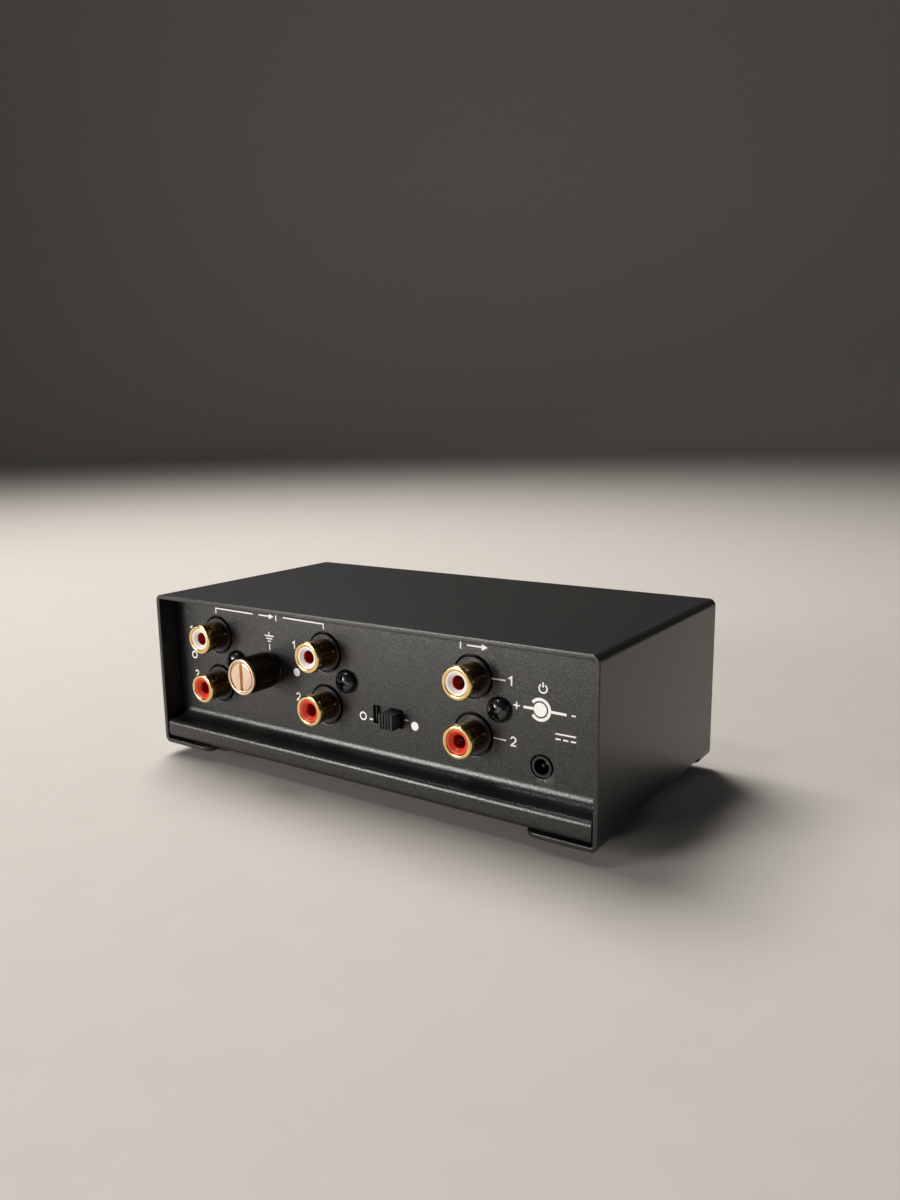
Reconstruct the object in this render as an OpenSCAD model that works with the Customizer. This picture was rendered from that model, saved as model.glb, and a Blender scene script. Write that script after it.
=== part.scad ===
// Phono preamp in a two-piece sheet-steel case.
// A bent chassis carries a recessed connector panel, the circuit board and the feet,
// and a wrap-round cover closes it with four tabs folded in underneath.
// Connectors face -Y. The origin lies on the plane the feet stand on, in the middle of
// the whole outline, ground thumbscrew included. All lengths are in millimetres.

/* [Case] */
// Width over the two side walls
case_w = 139; // [134:1:180]
// Depth from the connector edge to the front edge
case_d = 72; // [68:1:110]
// Height of the cover from the underside of its tabs to its top
case_h = 44; // [43.5:0.5:60]
// Thickness of the steel sheet
sheet_t = 1.2; // [0.8:0.1:1.4]
// Outer radius of the cover's bends
cover_bend_r = 1.8; // [1.6:0.1:3]
// Gap between the cover and the chassis inside it
cover_gap = 0.3; // [0.2:0.05:0.5]
// Length of a tab, measured from the outside of its side wall
tab_len = 18.6; // [12:0.1:24]
// Width of a tab along the depth
tab_w = 8; // [7:0.1:10]
// Corner radius of a tab's free end
tab_corner_r = 3.5; // [0.5:0.1:3.5]
// Gap between a tab and the floor above it
tab_gap = 0.35; // [0.2:0.05:0.6]

/* [Panel and lip] */
// Depth of the panel behind the cover's edge
panel_recess = 6.1; // [5:0.1:9]
// Setback of the lip's face from the cover's edge
lip_setback = 0.2; // [0:0.1:1]
// Outer radius of the lip's nose
nose_r = 1.5; // [1.5:0.1:2.2]
// Radius of the hollow bend under the panel
cove_r = 2.8; // [1.5:0.1:3.5]
// Outer radius of the bend from the lip into the floor
heel_r = 1.5; // [1.5:0.1:2.2]
// Height of the nose's centre above the tabs' underside
nose_z = 5.6; // [4.6:0.1:6.5]
// Fall of the lip's shelf towards its nose, in degrees
shelf_slope = 6; // [0:1:12]

/* [Feet] */
// Diameter of a foot
foot_d = 12; // [8:0.5:16]
// Height of a foot
foot_h = 5; // [3:0.1:8]
// Distance of a foot's centre from the side of the case
foot_in_x = 11.8; // [10:0.1:30]
// Gap between a foot and the tab in front of it
foot_tab_gap = 0.6; // [0.3:0.1:8]

/* [Phono jacks] */
// Place of the left pair across the panel
jack_left_x = -51.2; // [-52:0.1:-50]
// Place of the middle pair across the panel
jack_middle_x = -11.4; // [-14:0.1:-11]
// Place of the output pair across the panel
jack_right_x = 34.3; // [28:0.1:35]
// Height of the lower row above the tabs' underside
jack_low_z = 19; // [18:0.1:20]
// Distance between the two jacks of a pair
jack_pitch = 14.1; // [12:0.1:15]
// Diameter of the panel hole round a jack
jack_hole_d = 10.8; // [10.4:0.1:11.6]
// Diameter of a shell's barrel
shell_d = 7.6; // [7.4:0.1:8]
// Diameter of the rolled lip at a shell's mouth
shell_lip_d = 8.3; // [8.2:0.1:8.8]
// Wall of a shell
shell_wall = 0.6; // [0.4:0.05:0.7]
// How far a shell stands out of the panel
shell_out = 7.2; // [6:0.1:10]
// Length of the rolled lip
shell_lip_len = 1.5; // [1:0.1:2.5]
// Diameter of the hole for a plug's centre pin
contact_hole_d = 3.24; // [3.2:0.02:3.3]
// Distance of a housing's screw from its jacks, towards the right
jack_screw_x = 7.3; // [7:0.1:9]
// Diameter of a panel screw's domed head
panel_screw_head_d = 6.2; // [5:0.1:7]

/* [Ground terminal] */
// Place of the terminal across the panel
ground_x = -31.4; // [-34:0.1:-29]
// Height of the terminal above the tabs' underside
ground_z = 26; // [20:0.1:32]
// Diameter over the knurl of the thumbscrew
thumb_d = 9.8; // [8:0.1:12]
// How far the tightened thumbscrew stands out of the panel
thumb_out = 10.9; // [8:0.1:14]
// Number of ridges round the knurl
thumb_ridges = 56; // [36:1:72]
// Diameter of the thumbscrew's threaded shank
shank_d = 3.9; // [2.9:0.1:4.4]
// How far the thumbscrew can be backed off
thumb_travel = 4.2; // [2:0.1:6]
// Thickness of the captive washer
washer_t = 0.9; // [0.5:0.1:1.5]

/* [Slide switch] */
// Centre of the window across the panel
switch_x = 8.9; // [6:0.1:12]
// Height of the window's centre above the tabs' underside
switch_z = 19; // [17:0.1:20]
// Width of the window
window_w = 9.3; // [8:0.1:12]
// Height of the window
window_h = 4.8; // [4.4:0.1:6]
// Width of the slider's knob
slider_w = 4.3; // [3.5:0.1:5]
// Height of the slider's knob
slider_h = 3.9; // [3:0.1:4]
// How far the knob stands out of the panel
slider_out = 4; // [2:0.1:6]
// Gap between the knob and the window's end at each stop
slider_stop_gap = 0.35; // [0.2:0.05:0.5]

/* [Power inlet] */
// Place of the inlet across the panel
inlet_x = 52.65; // [50:0.1:54]
// Height of the inlet above the circuit board
inlet_up = 5.2; // [4.2:0.1:7]
// Diameter of the inlet's hole in the panel
inlet_hole_d = 5.8; // [5.6:0.1:7]
// Outer diameter of the socket's collar
collar_d = 5; // [4.8:0.1:5.4]
// Inner diameter of the socket's collar
socket_d = 3.9; // [3.6:0.1:4.2]
// Diameter of the centre pin
inlet_pin_d = 1.3; // [1:0.1:1.6]

/* [Circuit board] */
// Length of the spacers under the board
spacer_h = 5; // [4:0.1:6]
// Thickness of the board
board_t = 1.6; // [1:0.1:2]
// Gap between the board's side edges and the chassis ends
board_side_gap = 3; // [2:0.5:6]
// Gap between the board and the inside of the connector panel
board_panel_gap = 1; // [0.8:0.1:2]
// Gap between the board and the inside of the front wall
board_front_gap = 4.2; // [3.8:0.1:8]

/* [Power lamp] */
// Place of the lamp across the front wall
lamp_x = 0; // [-20:1:20]
// Height of the lamp above the board
lamp_up = 8.6; // [6:0.1:14]
// Diameter of the lamp
lamp_d = 3; // [2.8:0.1:5]

/* [Hidden] */
$fn = 48;

// Small clearances between seated pieces
fit = 0.05;
play = 0.15;
eps = 0.01;

// Chassis
floor_z = sheet_t + tab_gap;
floor_top = floor_z + sheet_t;
chassis_w = case_w - 2 * (sheet_t + cover_gap);
edge_y = -case_d / 2;
lip_y = edge_y + lip_setback;
panel_y = edge_y + panel_recess;
panel_in = panel_y + sheet_t;
panel_top = case_h - sheet_t - cover_gap;
slope_n = [-sin(shelf_slope), cos(shelf_slope)];
nose_c = [lip_y + nose_r, nose_z];
heel_c = [lip_y + heel_r, floor_z + heel_r];
cove_y = panel_y - cove_r;
cove_c = [cove_y, nose_z + (cove_r + nose_r - (cove_y - nose_c[0]) * slope_n[0]) / slope_n[1]];

// Cover screws
cover_screw_d = 3;
cover_head_d = 5.4;
cover_head_h = 1.3;
cover_nut_d = 4.4;
cover_nut_h = 2;
board_screw_front_in = 4;
board_screw_back_in = 5.5;
cover_screw_x = case_w / 2 - tab_len + tab_w / 2;
cover_screw_y = case_d / 2 - tab_w / 2;

// Feet
foot_x = case_w / 2 - foot_in_x;
foot_y = case_d / 2 - tab_w - foot_tab_gap - foot_d / 2;
foot_drop = foot_h - floor_z;

// Board
board_z = floor_top + spacer_h;
board_top = board_z + board_t;
board_w = chassis_w - 2 * board_side_gap;
board_y0 = panel_in + board_panel_gap;
board_y1 = -panel_in - board_front_gap;
board_screw_d = 3;
board_screw_in = 3.5;
spacer_d = 6;
board_holes = [for (sx = [-1, 1], y = [board_y0 + board_screw_back_in, board_y1 - board_screw_front_in])
    [sx * (board_w / 2 - board_screw_in), y]];

// Phono jacks
jack_xs = [jack_left_x, jack_middle_x, jack_right_x];
jack_up_z = jack_low_z + jack_pitch;
jack_screw_z = jack_low_z + jack_pitch / 2 + 0.35;
body_w = 14;
body_d = 12;
body_over = 7;
body_front = -sheet_t - fit;
body_back = body_front - body_d;
body_z0 = board_top;
body_z1 = jack_up_z + body_over;
boss_d = jack_hole_d - 0.8;
boss_front = 0.45;
shell_r = shell_d / 2;
shell_in_r = shell_r - shell_wall;
shell_tail = -10.5;
shell_mouth_r = shell_in_r - 0.2;
seam_w = 0.3;
seam_depth = 0.22;
seam_angle = 14;
dimple_r = 0.45;
dimple_angle = 46;
dimple_z = 4.3;
insulator_r = shell_in_r - fit;
insulator_front = shell_out - 0.25;
insulator_hole_r = contact_hole_d / 2 + 0.4;
guide_r = 2.4;
guide_front = shell_out - 1.3;
contact_r = contact_hole_d / 2;
contact_wall = 0.35;
contact_front = 1;
contact_back = -7.4;
contact_tail_w = 1;
contact_tail_t = 0.4;
contact_tail_y = panel_y - body_back + 0.6;
tail_hole_d = 1.5;
tail_shift = 2.2;
ground_pin_y = panel_in + 9.5;
ear_w = 4;
ear_t = 5;
ear_r = 3.6;
panel_screw_d = 3;

// Ground terminal
thumb_back = washer_t + 2 * fit;
thumb_r = thumb_d / 2;
shank_r = shank_d / 2;
nut_t = 3.2;
nut_af = 7;
lug_t = 0.5;
lug_r = 4;
lug_tail_w = 2.6;
shank_end = -sheet_t - lug_t - nut_t - thumb_travel - 2;

// Slide switch
slider_travel = window_w - slider_w - 2 * slider_stop_gap;
slider_rest = slider_travel / 2;
can_w = 20;
can_d = 7;
can_t = 0.4;
base_t = 2;
can_top = switch_z + 4;
can_y0 = panel_in + fit;
can_y1 = can_y0 + can_d;
slider_body_w = can_w - 2 * can_t - slider_travel - 0.4;
slider_body_h = 7;
slider_body_t = can_d - can_t - base_t - 2 * play;
slider_groove_w = 0.4;
slider_groove_d = 0.35;
slider_ribs = 5;
switch_pin_pitch = 2.5;
switch_pin_count = 6;

// Power inlet
inlet_z = board_top + inlet_up;
socket_w = 9;
socket_d_len = 11;
socket_h = 10;
socket_depth = 9;
inlet_root_r = inlet_pin_d / 2 + 0.25;
collar_front = 0.1;
inlet_pin_r = inlet_pin_d / 2;

// Power lamp
lamp_z = board_top + lamp_up;
lamp_flange_d = lamp_d + 0.8;
lamp_out = 1.2;
holder_w = 5.6;
holder_d = 5;

// The whole outline, front edge of the thumbscrew to the front edge of the case
outline_y0 = min(panel_y - thumb_out, panel_y - shell_out, panel_y - slider_out, edge_y);
frame_y = -(outline_y0 - edge_y) / 2;

// Moves a piece drawn about the middle of the case, on the tabs' underside, to the origin
module place() translate([0, frame_y, foot_drop]) children();

// Local Z points out of the connector panel, from its outer face, at (x, z)
module on_panel(x, z) translate([x, panel_y, z]) rotate([90, 0, 0]) children();

function arc(c, r, a0, a1, n) = [for (i = [0:n]) c + r * [cos(a0 + (a1 - a0) * i / n), sin(a0 + (a1 - a0) * i / n)]];
function flip(pts) = [for (p = pts) [-p[0], p[1]]];
function back_to_front(pts) = [for (i = [len(pts) - 1:-1:0]) pts[i]];

module tube(r_out, r_in, z0, z1) {
    translate([0, 0, z0]) difference() {
        cylinder(r = r_out, h = z1 - z0);
        translate([0, 0, -1]) cylinder(r = r_in, h = z1 - z0 + 2);
    }
}

module rod(r, z0, z1) translate([0, 0, z0]) cylinder(r = r, h = z1 - z0);

// Solid of revolution of an outline of [radius, height] points
module turned(pts) rotate_extrude($fn = 64) polygon(pts);

module block(w, y0, y1, z0, z1) translate([-w / 2, y0, z0]) cube([w, y1 - y0, z1 - z0]);

// ---- Cover ----

// One skin of the cover's section, t inside its outer face, right half
function cover_skin(t) = concat(
    [[case_w / 2 - tab_len, t]],
    arc([case_w / 2 - cover_bend_r, cover_bend_r], cover_bend_r - t, 270, 360, 10),
    arc([case_w / 2 - cover_bend_r, case_h - cover_bend_r], cover_bend_r - t, 0, 90, 10));

module tab_corner() {
    difference() {
        translate([-1, -1]) square(tab_corner_r + 1);
        translate([tab_corner_r, tab_corner_r]) circle(tab_corner_r);
    }
}

// Everything that is cut away round one tab, drawn at the right back tab
module tab_cuts() {
    translate([case_w / 2 - tab_len, case_d / 2, -1]) linear_extrude(sheet_t + 1 + eps) {
        mirror([0, 1]) tab_corner();
        translate([0, -tab_w]) tab_corner();
    }
    translate([cover_screw_x, cover_screw_y, -1]) cylinder(d = cover_screw_d + 0.4, h = sheet_t + 2);
}

module top_cover() place() color([0.22, 0.22, 0.21]) difference() {
    rotate([90, 0, 0]) linear_extrude(case_d, center = true)
        polygon(concat(cover_skin(0), back_to_front(flip(cover_skin(0))),
            flip(cover_skin(sheet_t)), back_to_front(cover_skin(sheet_t))));
    translate([-case_w, -case_d / 2 + tab_w, -1]) cube([2 * case_w, case_d - 2 * tab_w, cover_bend_r + 1]);
    for (mx = [0, 1], my = [0, 1]) mirror([mx, 0]) mirror([0, my]) tab_cuts();
}

// ---- Chassis ----

// One skin of the chassis section, t inside its outer face, connector half
function chassis_skin(t) = concat(
    arc(heel_c, heel_r - t, 270, 180, 8),
    arc(nose_c, nose_r - t, 180, 90 + shelf_slope, 10),
    arc(cove_c, cove_r + t, 270 + shelf_slope, 360, 12),
    [[panel_y + t, panel_top]]);

module chassis_sheet() rotate([90, 0, 90]) linear_extrude(chassis_w, center = true)
    polygon(concat(back_to_front(chassis_skin(0)), flip(chassis_skin(0)),
        back_to_front(flip(chassis_skin(sheet_t))), chassis_skin(sheet_t)));

module panel_holes() {
    for (x = jack_xs) {
        for (z = [jack_low_z, jack_up_z]) on_panel(x, z) rod(jack_hole_d / 2, -sheet_t - 1, 1);
        on_panel(x + jack_screw_x, jack_screw_z) rod(panel_screw_d / 2 + play, -sheet_t - 1, 1);
    }
    on_panel(ground_x, ground_z) rod(shank_r + 2 * play, -sheet_t - 1, 1);
    on_panel(inlet_x, inlet_z) rod(inlet_hole_d / 2, -sheet_t - 1, 1);
    on_panel(switch_x, switch_z) translate([-window_w / 2, -window_h / 2, -sheet_t - 1])
        cube([window_w, window_h, sheet_t + 2]);
}

module chassis() place() color([0.25, 0.25, 0.24]) difference() {
    chassis_sheet();
    panel_holes();
    translate([lamp_x, -panel_in - 1, lamp_z]) rotate([-90, 0, 0])
        cylinder(d = lamp_d + 2 * play, h = sheet_t + 2);
    for (sx = [-1, 1], sy = [-1, 1]) translate([sx * cover_screw_x, sy * cover_screw_y, 0])
        cylinder(d = cover_screw_d + 0.4, h = floor_top + 1);
}

// ---- Fasteners of the cover ----

// Domed cross-head screw standing on its head's seat, shank downwards
module dome_screw(head_d, head_h, d, len) {
    cross_w = 0.2 * head_d;
    difference() {
        union() {
            turned(concat([[0, 0], [head_d / 2, 0]],
                [for (a = [0:9:90]) [head_d / 2 * cos(a), 0.25 + (head_h - 0.25) * sin(a)]]));
            rod(d / 2, -len, eps);
        }
        translate([0, 0, head_h - 0.55 * head_h]) linear_extrude(head_h) {
            square([0.6 * head_d, cross_w], center = true);
            square([cross_w, 0.6 * head_d], center = true);
        }
    }
}

module cover_screws() place() color([0.1, 0.1, 0.1])
    for (sx = [-1, 1], sy = [-1, 1]) translate([sx * cover_screw_x, sy * cover_screw_y, 0])
        mirror([0, 0, 1])
            dome_screw(cover_head_d, cover_head_h, cover_screw_d, floor_top + cover_nut_h - 0.2);

module cover_nuts() place() color([0.6, 0.6, 0.6])
    for (sx = [-1, 1], sy = [-1, 1]) translate([sx * cover_screw_x, sy * cover_screw_y, floor_top])
        tube(cover_nut_d / 2, cover_screw_d / 2 + fit, 0, cover_nut_h);

// ---- Feet ----

// Foot with a slightly tapered side and a rounded rim, hung from the floor
module foot(x, y) place() translate([x, y, floor_z]) mirror([0, 0, 1]) color([0.06, 0.06, 0.06])
    turned(concat([[0, 0], [foot_d / 2, 0]],
        arc([foot_d / 2 - 1.1, foot_h - 0.8], 0.8, 0, 90, 8), [[0, foot_h]]));

module foot_connector_left() foot(-foot_x, -foot_y);
module foot_connector_right() foot(foot_x, -foot_y);
module foot_front_left() foot(-foot_x, foot_y);
module foot_front_right() foot(foot_x, foot_y);

// ---- Circuit board ----

module tail_holes() {
    for (x = jack_xs, s = [-1, 1]) translate([x + s * tail_shift, contact_tail_y, board_z - 1])
        cylinder(d = tail_hole_d, h = board_t + 2);
    for (x = jack_xs) translate([x - body_w / 2 - 0.25, ground_pin_y, board_z - 1])
        cylinder(d = 1.6, h = board_t + 2);
    for (i = [0:switch_pin_count - 1])
        translate([switch_x + (i - (switch_pin_count - 1) / 2) * switch_pin_pitch,
            can_y1 - base_t / 2, board_z - 1]) cylinder(d = 1.1, h = board_t + 2);
    for (y = [socket_back_y() + 0.5, socket_back_y() - 4.5]) translate([inlet_x, y, board_z - 1])
        cylinder(d = 1.8, h = board_t + 2);
}

module circuit_board() place() color([0.1, 0.35, 0.15]) difference() {
    block(board_w, board_y0, board_y1, board_z, board_top);
    for (p = board_holes) translate([p[0], p[1], board_z - 1])
        cylinder(d = board_screw_d + 0.4, h = board_t + 2);
    tail_holes();
}

module board_spacers() place() color([0.75, 0.75, 0.7])
    for (p = board_holes) translate([p[0], p[1], floor_top])
        tube(spacer_d / 2, board_screw_d / 2 + fit, 0, spacer_h);

module board_screws() place() color([0.7, 0.7, 0.7])
    for (p = board_holes) translate([p[0], p[1], board_top])
        dome_screw(5.4, 1.8, board_screw_d, board_t + spacer_h - 0.5);

// ---- Phono jacks ----

// Moulded housing behind the panel, with a boss in each panel hole and a screw ear
module jack_body(x) place() color([0.07, 0.07, 0.07]) difference() {
    union() {
        translate([x, panel_y - body_front, 0]) block(body_w, 0, body_d, body_z0, body_z1);
        for (z = [jack_low_z, jack_up_z]) on_panel(x, z) turned([
            [0, body_front - 1], [boss_d / 2, body_front - 1], [boss_d / 2, boss_front - 0.2],
            [boss_d / 2 - 0.2, boss_front], [0, boss_front]]);
        on_panel(x + jack_screw_x, jack_screw_z) {
            rod(ear_r, body_front - ear_t, body_front);
            translate([-ear_w, -ear_r, body_front - ear_t]) cube([ear_w, 2 * ear_r, ear_t]);
        }
        on_panel(x, jack_screw_z) translate([-body_w / 2 + 1, -1, body_front - 1])
            cube([body_w - 2, 2, 1]);
    }
    for (z = [jack_low_z, jack_up_z]) on_panel(x, z) {
        rod(shell_r, shell_tail - fit, 1);
        rod(contact_r + contact_wall + play, body_back - 1, 0);
    }
    on_panel(x + jack_screw_x, jack_screw_z) rod(panel_screw_d / 2 + fit, body_front - ear_t - 1, 1);
    // Notches that lighten the moulding's back corners
    for (s = [-1, 1]) translate([x + s * body_w / 2, panel_y - body_back, body_z0 + 4])
        translate([-1.2, -2.5, 0]) cube([2.4, 5, body_z1 - body_z0 - 8]);
}

module jack_body_left() jack_body(jack_left_x);
module jack_body_middle() jack_body(jack_middle_x);
module jack_body_right() jack_body(jack_right_x);

// Gilt shell rolled from strip: tail in the housing, barrel with its seam and a punch
// mark, and a lip rolled outwards and a little inwards at the mouth
module shell(x, z) place() on_panel(x, z) color([0.83, 0.64, 0.3]) difference() {
    turned([
        [shell_in_r, shell_tail], [shell_r - fit, shell_tail], [shell_r - fit, boss_front],
        [shell_r, boss_front], [shell_r, shell_out - shell_lip_len],
        [shell_lip_d / 2, shell_out - shell_lip_len + 0.2], [shell_lip_d / 2, shell_out - 0.4],
        [shell_lip_d / 2 - 0.35, shell_out], [shell_mouth_r + 0.2, shell_out],
        [shell_mouth_r, shell_out - 0.2], [shell_mouth_r, shell_out - 0.6],
        [shell_in_r, shell_out - 0.7]]);
    rotate(seam_angle) translate([shell_r - seam_depth, -seam_w / 2, boss_front + 0.1])
        cube([2, seam_w, shell_out - shell_lip_len - boss_front - 0.2]);
    rotate(dimple_angle) translate([shell_r - 0.3, 0, dimple_z]) rotate([0, 90, 0])
        cylinder(r = dimple_r, h = 1);
}

module shell_left_upper() shell(jack_left_x, jack_up_z);
module shell_left_lower() shell(jack_left_x, jack_low_z);
module shell_middle_upper() shell(jack_middle_x, jack_up_z);
module shell_middle_lower() shell(jack_middle_x, jack_low_z);
module shell_right_upper() shell(jack_right_x, jack_up_z);
module shell_right_lower() shell(jack_right_x, jack_low_z);

// Insulator with a dished mouth that leads the plug's pin in
module insulator(x, z, c) place() on_panel(x, z) color(c) turned([
    [guide_r + fit, shell_tail], [insulator_r, shell_tail], [insulator_r, shell_out - 0.75],
    [shell_mouth_r - fit, shell_out - 0.75], [shell_mouth_r - fit, insulator_front],
    [shell_mouth_r - 0.45, insulator_front], [insulator_hole_r, guide_front + 0.2],
    [insulator_hole_r, guide_front + fit], [guide_r + fit, guide_front + fit]]);

white = [0.95, 0.9, 0.9];
red = [0.85, 0.15, 0.1];
module insulator_left_upper() insulator(jack_left_x, jack_up_z, white);
module insulator_left_lower() insulator(jack_left_x, jack_low_z, red);
module insulator_middle_upper() insulator(jack_middle_x, jack_up_z, white);
module insulator_middle_lower() insulator(jack_middle_x, jack_low_z, red);
module insulator_right_upper() insulator(jack_right_x, jack_up_z, white);
module insulator_right_lower() insulator(jack_right_x, jack_low_z, red);

// Dark red guide in each insulator, with a stop in front of the contact
module pin_guides() place() color([0.35, 0.02, 0.02])
    for (x = jack_xs, z = [jack_low_z, jack_up_z]) on_panel(x, z) turned([
        [contact_r + contact_wall + fit, shell_tail], [guide_r, shell_tail], [guide_r, guide_front],
        [contact_r + 0.35, guide_front], [contact_r + 0.1, guide_front - 0.3],
        [contact_r + 0.1, contact_front + fit], [contact_r + contact_wall + fit, contact_front + fit]]);

// Tubular centre contact whose tail runs back and down into the board
module contact(x, z, side) place() color([0.8, 0.6, 0.3]) {
    on_panel(x, z) turned([
        [0, contact_back - 1], [contact_r + contact_wall, contact_back - 1],
        [contact_r + contact_wall, contact_front], [contact_r, contact_front],
        [contact_r, contact_back], [0, contact_back]]);
    on_panel(x, z) rod(0.7, panel_y - contact_tail_y - contact_tail_t / 2, contact_back - 1 + eps);
    translate([x + side * tail_shift / 2, contact_tail_y, z])
        cube([tail_shift + contact_tail_w, contact_tail_t, 1.6], center = true);
    translate([x + side * tail_shift - contact_tail_w / 2, contact_tail_y - contact_tail_t / 2, board_z - 1.5])
        cube([contact_tail_w, contact_tail_t, z - board_z + 1.5]);
}

module contact_left_upper() contact(jack_left_x, jack_up_z, 1);
module contact_left_lower() contact(jack_left_x, jack_low_z, -1);
module contact_middle_upper() contact(jack_middle_x, jack_up_z, 1);
module contact_middle_lower() contact(jack_middle_x, jack_low_z, -1);
module contact_right_upper() contact(jack_right_x, jack_up_z, 1);
module contact_right_lower() contact(jack_right_x, jack_low_z, -1);

// Ground strip down the side of each housing into the board
module jack_ground_pins() place() color([0.75, 0.72, 0.65]) for (x = jack_xs)
    translate([x - body_w / 2 - 0.5, ground_pin_y - 0.5, board_z - 1.5])
        cube([0.5, 1, jack_up_z - board_z + 1.5]);

module panel_screws() place() color([0.06, 0.06, 0.06]) for (x = jack_xs)
    on_panel(x + jack_screw_x, jack_screw_z) dome_screw(panel_screw_head_d, 2.6, panel_screw_d, 6);

// ---- Ground terminal ----

function knurl_ring(r, depth, n) = [for (i = [0:2 * n - 1])
    let (a = 180 * i / n) (r - (i % 2) * depth) * [cos(a), sin(a)]];

// Slotted knurled head with a rimmed, dished end, on a plain shank
module ground_thumbscrew() place() on_panel(ground_x, ground_z) color([0.2, 0.18, 0.16]) difference() {
    union() {
        rod(thumb_r - 0.5, thumb_back, thumb_back + 0.6);
        translate([0, 0, thumb_back + 0.6 - eps])
            linear_extrude(thumb_out - thumb_back - 1.2) polygon(knurl_ring(thumb_r, 0.18, thumb_ridges));
        turned([[0, thumb_out - 0.7], [thumb_r - 0.05, thumb_out - 0.7], [thumb_r - 0.05, thumb_out - 0.3],
            [thumb_r - 0.4, thumb_out], [0, thumb_out]]);
        rod(shank_r, shank_end, thumb_back + eps);
    }
    tube(thumb_r - 0.7, thumb_r - 1.1, thumb_out - 0.45, thumb_out + 1);
    translate([-0.5, -thumb_r + 1, thumb_out - 1]) cube([1, 2 * thumb_r - 2, 2]);
}

module ground_washer() place() on_panel(ground_x, ground_z) color([0.1, 0.1, 0.1])
    tube(thumb_r - 0.2, shank_r + play, fit, fit + washer_t);

module ground_nut() place() on_panel(ground_x, ground_z) color([0.75, 0.72, 0.6]) difference() {
    translate([0, 0, -sheet_t - lug_t - nut_t]) cylinder(d = nut_af / cos(30), h = nut_t, $fn = 6);
    rod(shank_r + fit, -sheet_t - lug_t - nut_t - 1, 1);
}

// Ring lug under the nut, with a tail that stands on the board
module ground_lug() place() color([0.8, 0.78, 0.7]) {
    difference() {
        union() {
            on_panel(ground_x, ground_z) rod(lug_r, -sheet_t - lug_t, -sheet_t);
            translate([ground_x - lug_tail_w / 2, panel_in, board_top])
                cube([lug_tail_w, lug_t, ground_z - board_top - lug_r + 1]);
            translate([ground_x - lug_tail_w / 2, panel_in, board_top])
                cube([lug_tail_w, 4, lug_t]);
        }
        on_panel(ground_x, ground_z) rod(shank_r + 2 * play, -sheet_t - lug_t - 1, 1);
    }
}

// ---- Slide switch ----

// Folded can: front plate with the window, four walls, open at the back
module switch_can() place() translate([switch_x, 0, 0]) color([0.6, 0.6, 0.58]) difference() {
    block(can_w, can_y0, can_y1, board_top, can_top);
    block(can_w - 2 * can_t, can_y0 + can_t, can_y1 + 1, board_top + can_t, can_top - can_t);
    block(window_w, can_y0 - 1, can_y0 + 1, switch_z - window_h / 2, switch_z + window_h / 2);
    block(can_w - 2 * can_t - 1, can_y1 - base_t, can_y1 + 1, board_top - 1, board_top + 1);
}

module switch_base() place() translate([switch_x, 0, 0]) color([0.35, 0.2, 0.1]) difference() {
    block(can_w - 2 * can_t - 2 * fit, can_y1 - base_t, can_y1, board_top + can_t + fit, can_top - can_t - fit);
    for (i = [0:switch_pin_count - 1])
        translate([(i - (switch_pin_count - 1) / 2) * switch_pin_pitch, can_y1 - base_t / 2, board_top])
            cylinder(d = 0.9, h = 5);
}

// Slider: flat carriage inside the can, knob through the window, upright ribs on its end
module switch_slider() place() translate([switch_x + slider_rest, 0, 0]) color([0.03, 0.03, 0.03]) difference() {
    union() {
        block(slider_body_w, can_y0 + can_t + play, can_y0 + can_t + play + slider_body_t,
            switch_z - slider_body_h / 2 - 0.5, switch_z + slider_body_h / 2 - 0.5);
        block(slider_w, panel_y - slider_out, can_y0 + can_t + 1,
            switch_z - slider_h / 2, switch_z + slider_h / 2);
    }
    for (i = [1:slider_ribs - 1])
        translate([-slider_w / 2 + i * slider_w / slider_ribs - slider_groove_w / 2,
            panel_y - slider_out - 1, switch_z - slider_h])
            cube([slider_groove_w, slider_groove_d + 1, 2 * slider_h]);
}

module switch_pins() place() color([0.8, 0.78, 0.7]) for (i = [0:switch_pin_count - 1])
    translate([switch_x + (i - (switch_pin_count - 1) / 2) * switch_pin_pitch, can_y1 - base_t / 2, board_z - 1.5])
        cylinder(d = 0.8, h = board_top - board_z + 1.5 + 4);

// ---- Power inlet ----

function socket_back_y() = panel_in + fit + socket_d_len;

module inlet_socket() place() color([0.05, 0.05, 0.05]) difference() {
    union() {
        translate([inlet_x, 0, 0]) block(socket_w, panel_in + fit, socket_back_y(), board_top, board_top + socket_h);
        on_panel(inlet_x, inlet_z) rod(collar_d / 2, -sheet_t - 1, collar_front);
    }
    on_panel(inlet_x, inlet_z) rod(socket_d / 2, -socket_depth, 1);
    on_panel(inlet_x, inlet_z) rod(inlet_root_r + fit, -socket_depth - 10, 1);
    // Slot under the bore for the spring, open to the board
    translate([inlet_x, 0, 0]) block(2.4, panel_in + 3, socket_back_y() - 3, board_top - 1, inlet_z - socket_d / 2 + 0.3);
}

module inlet_centre_pin() place() color([0.8, 0.8, 0.75]) {
    on_panel(inlet_x, inlet_z) turned(concat([[0, panel_y - socket_back_y() - 0.8],
        [inlet_root_r, panel_y - socket_back_y() - 0.8],
        [inlet_root_r, -socket_depth], [inlet_pin_r, -socket_depth]],
        arc([0, -0.6 - inlet_pin_r], inlet_pin_r, 0, 90, 6)));
    translate([inlet_x - 0.6, socket_back_y() + 0.3, board_z - 1.5])
        cube([1.2, 0.4, inlet_z - board_z + 1.5]);
}

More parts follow.
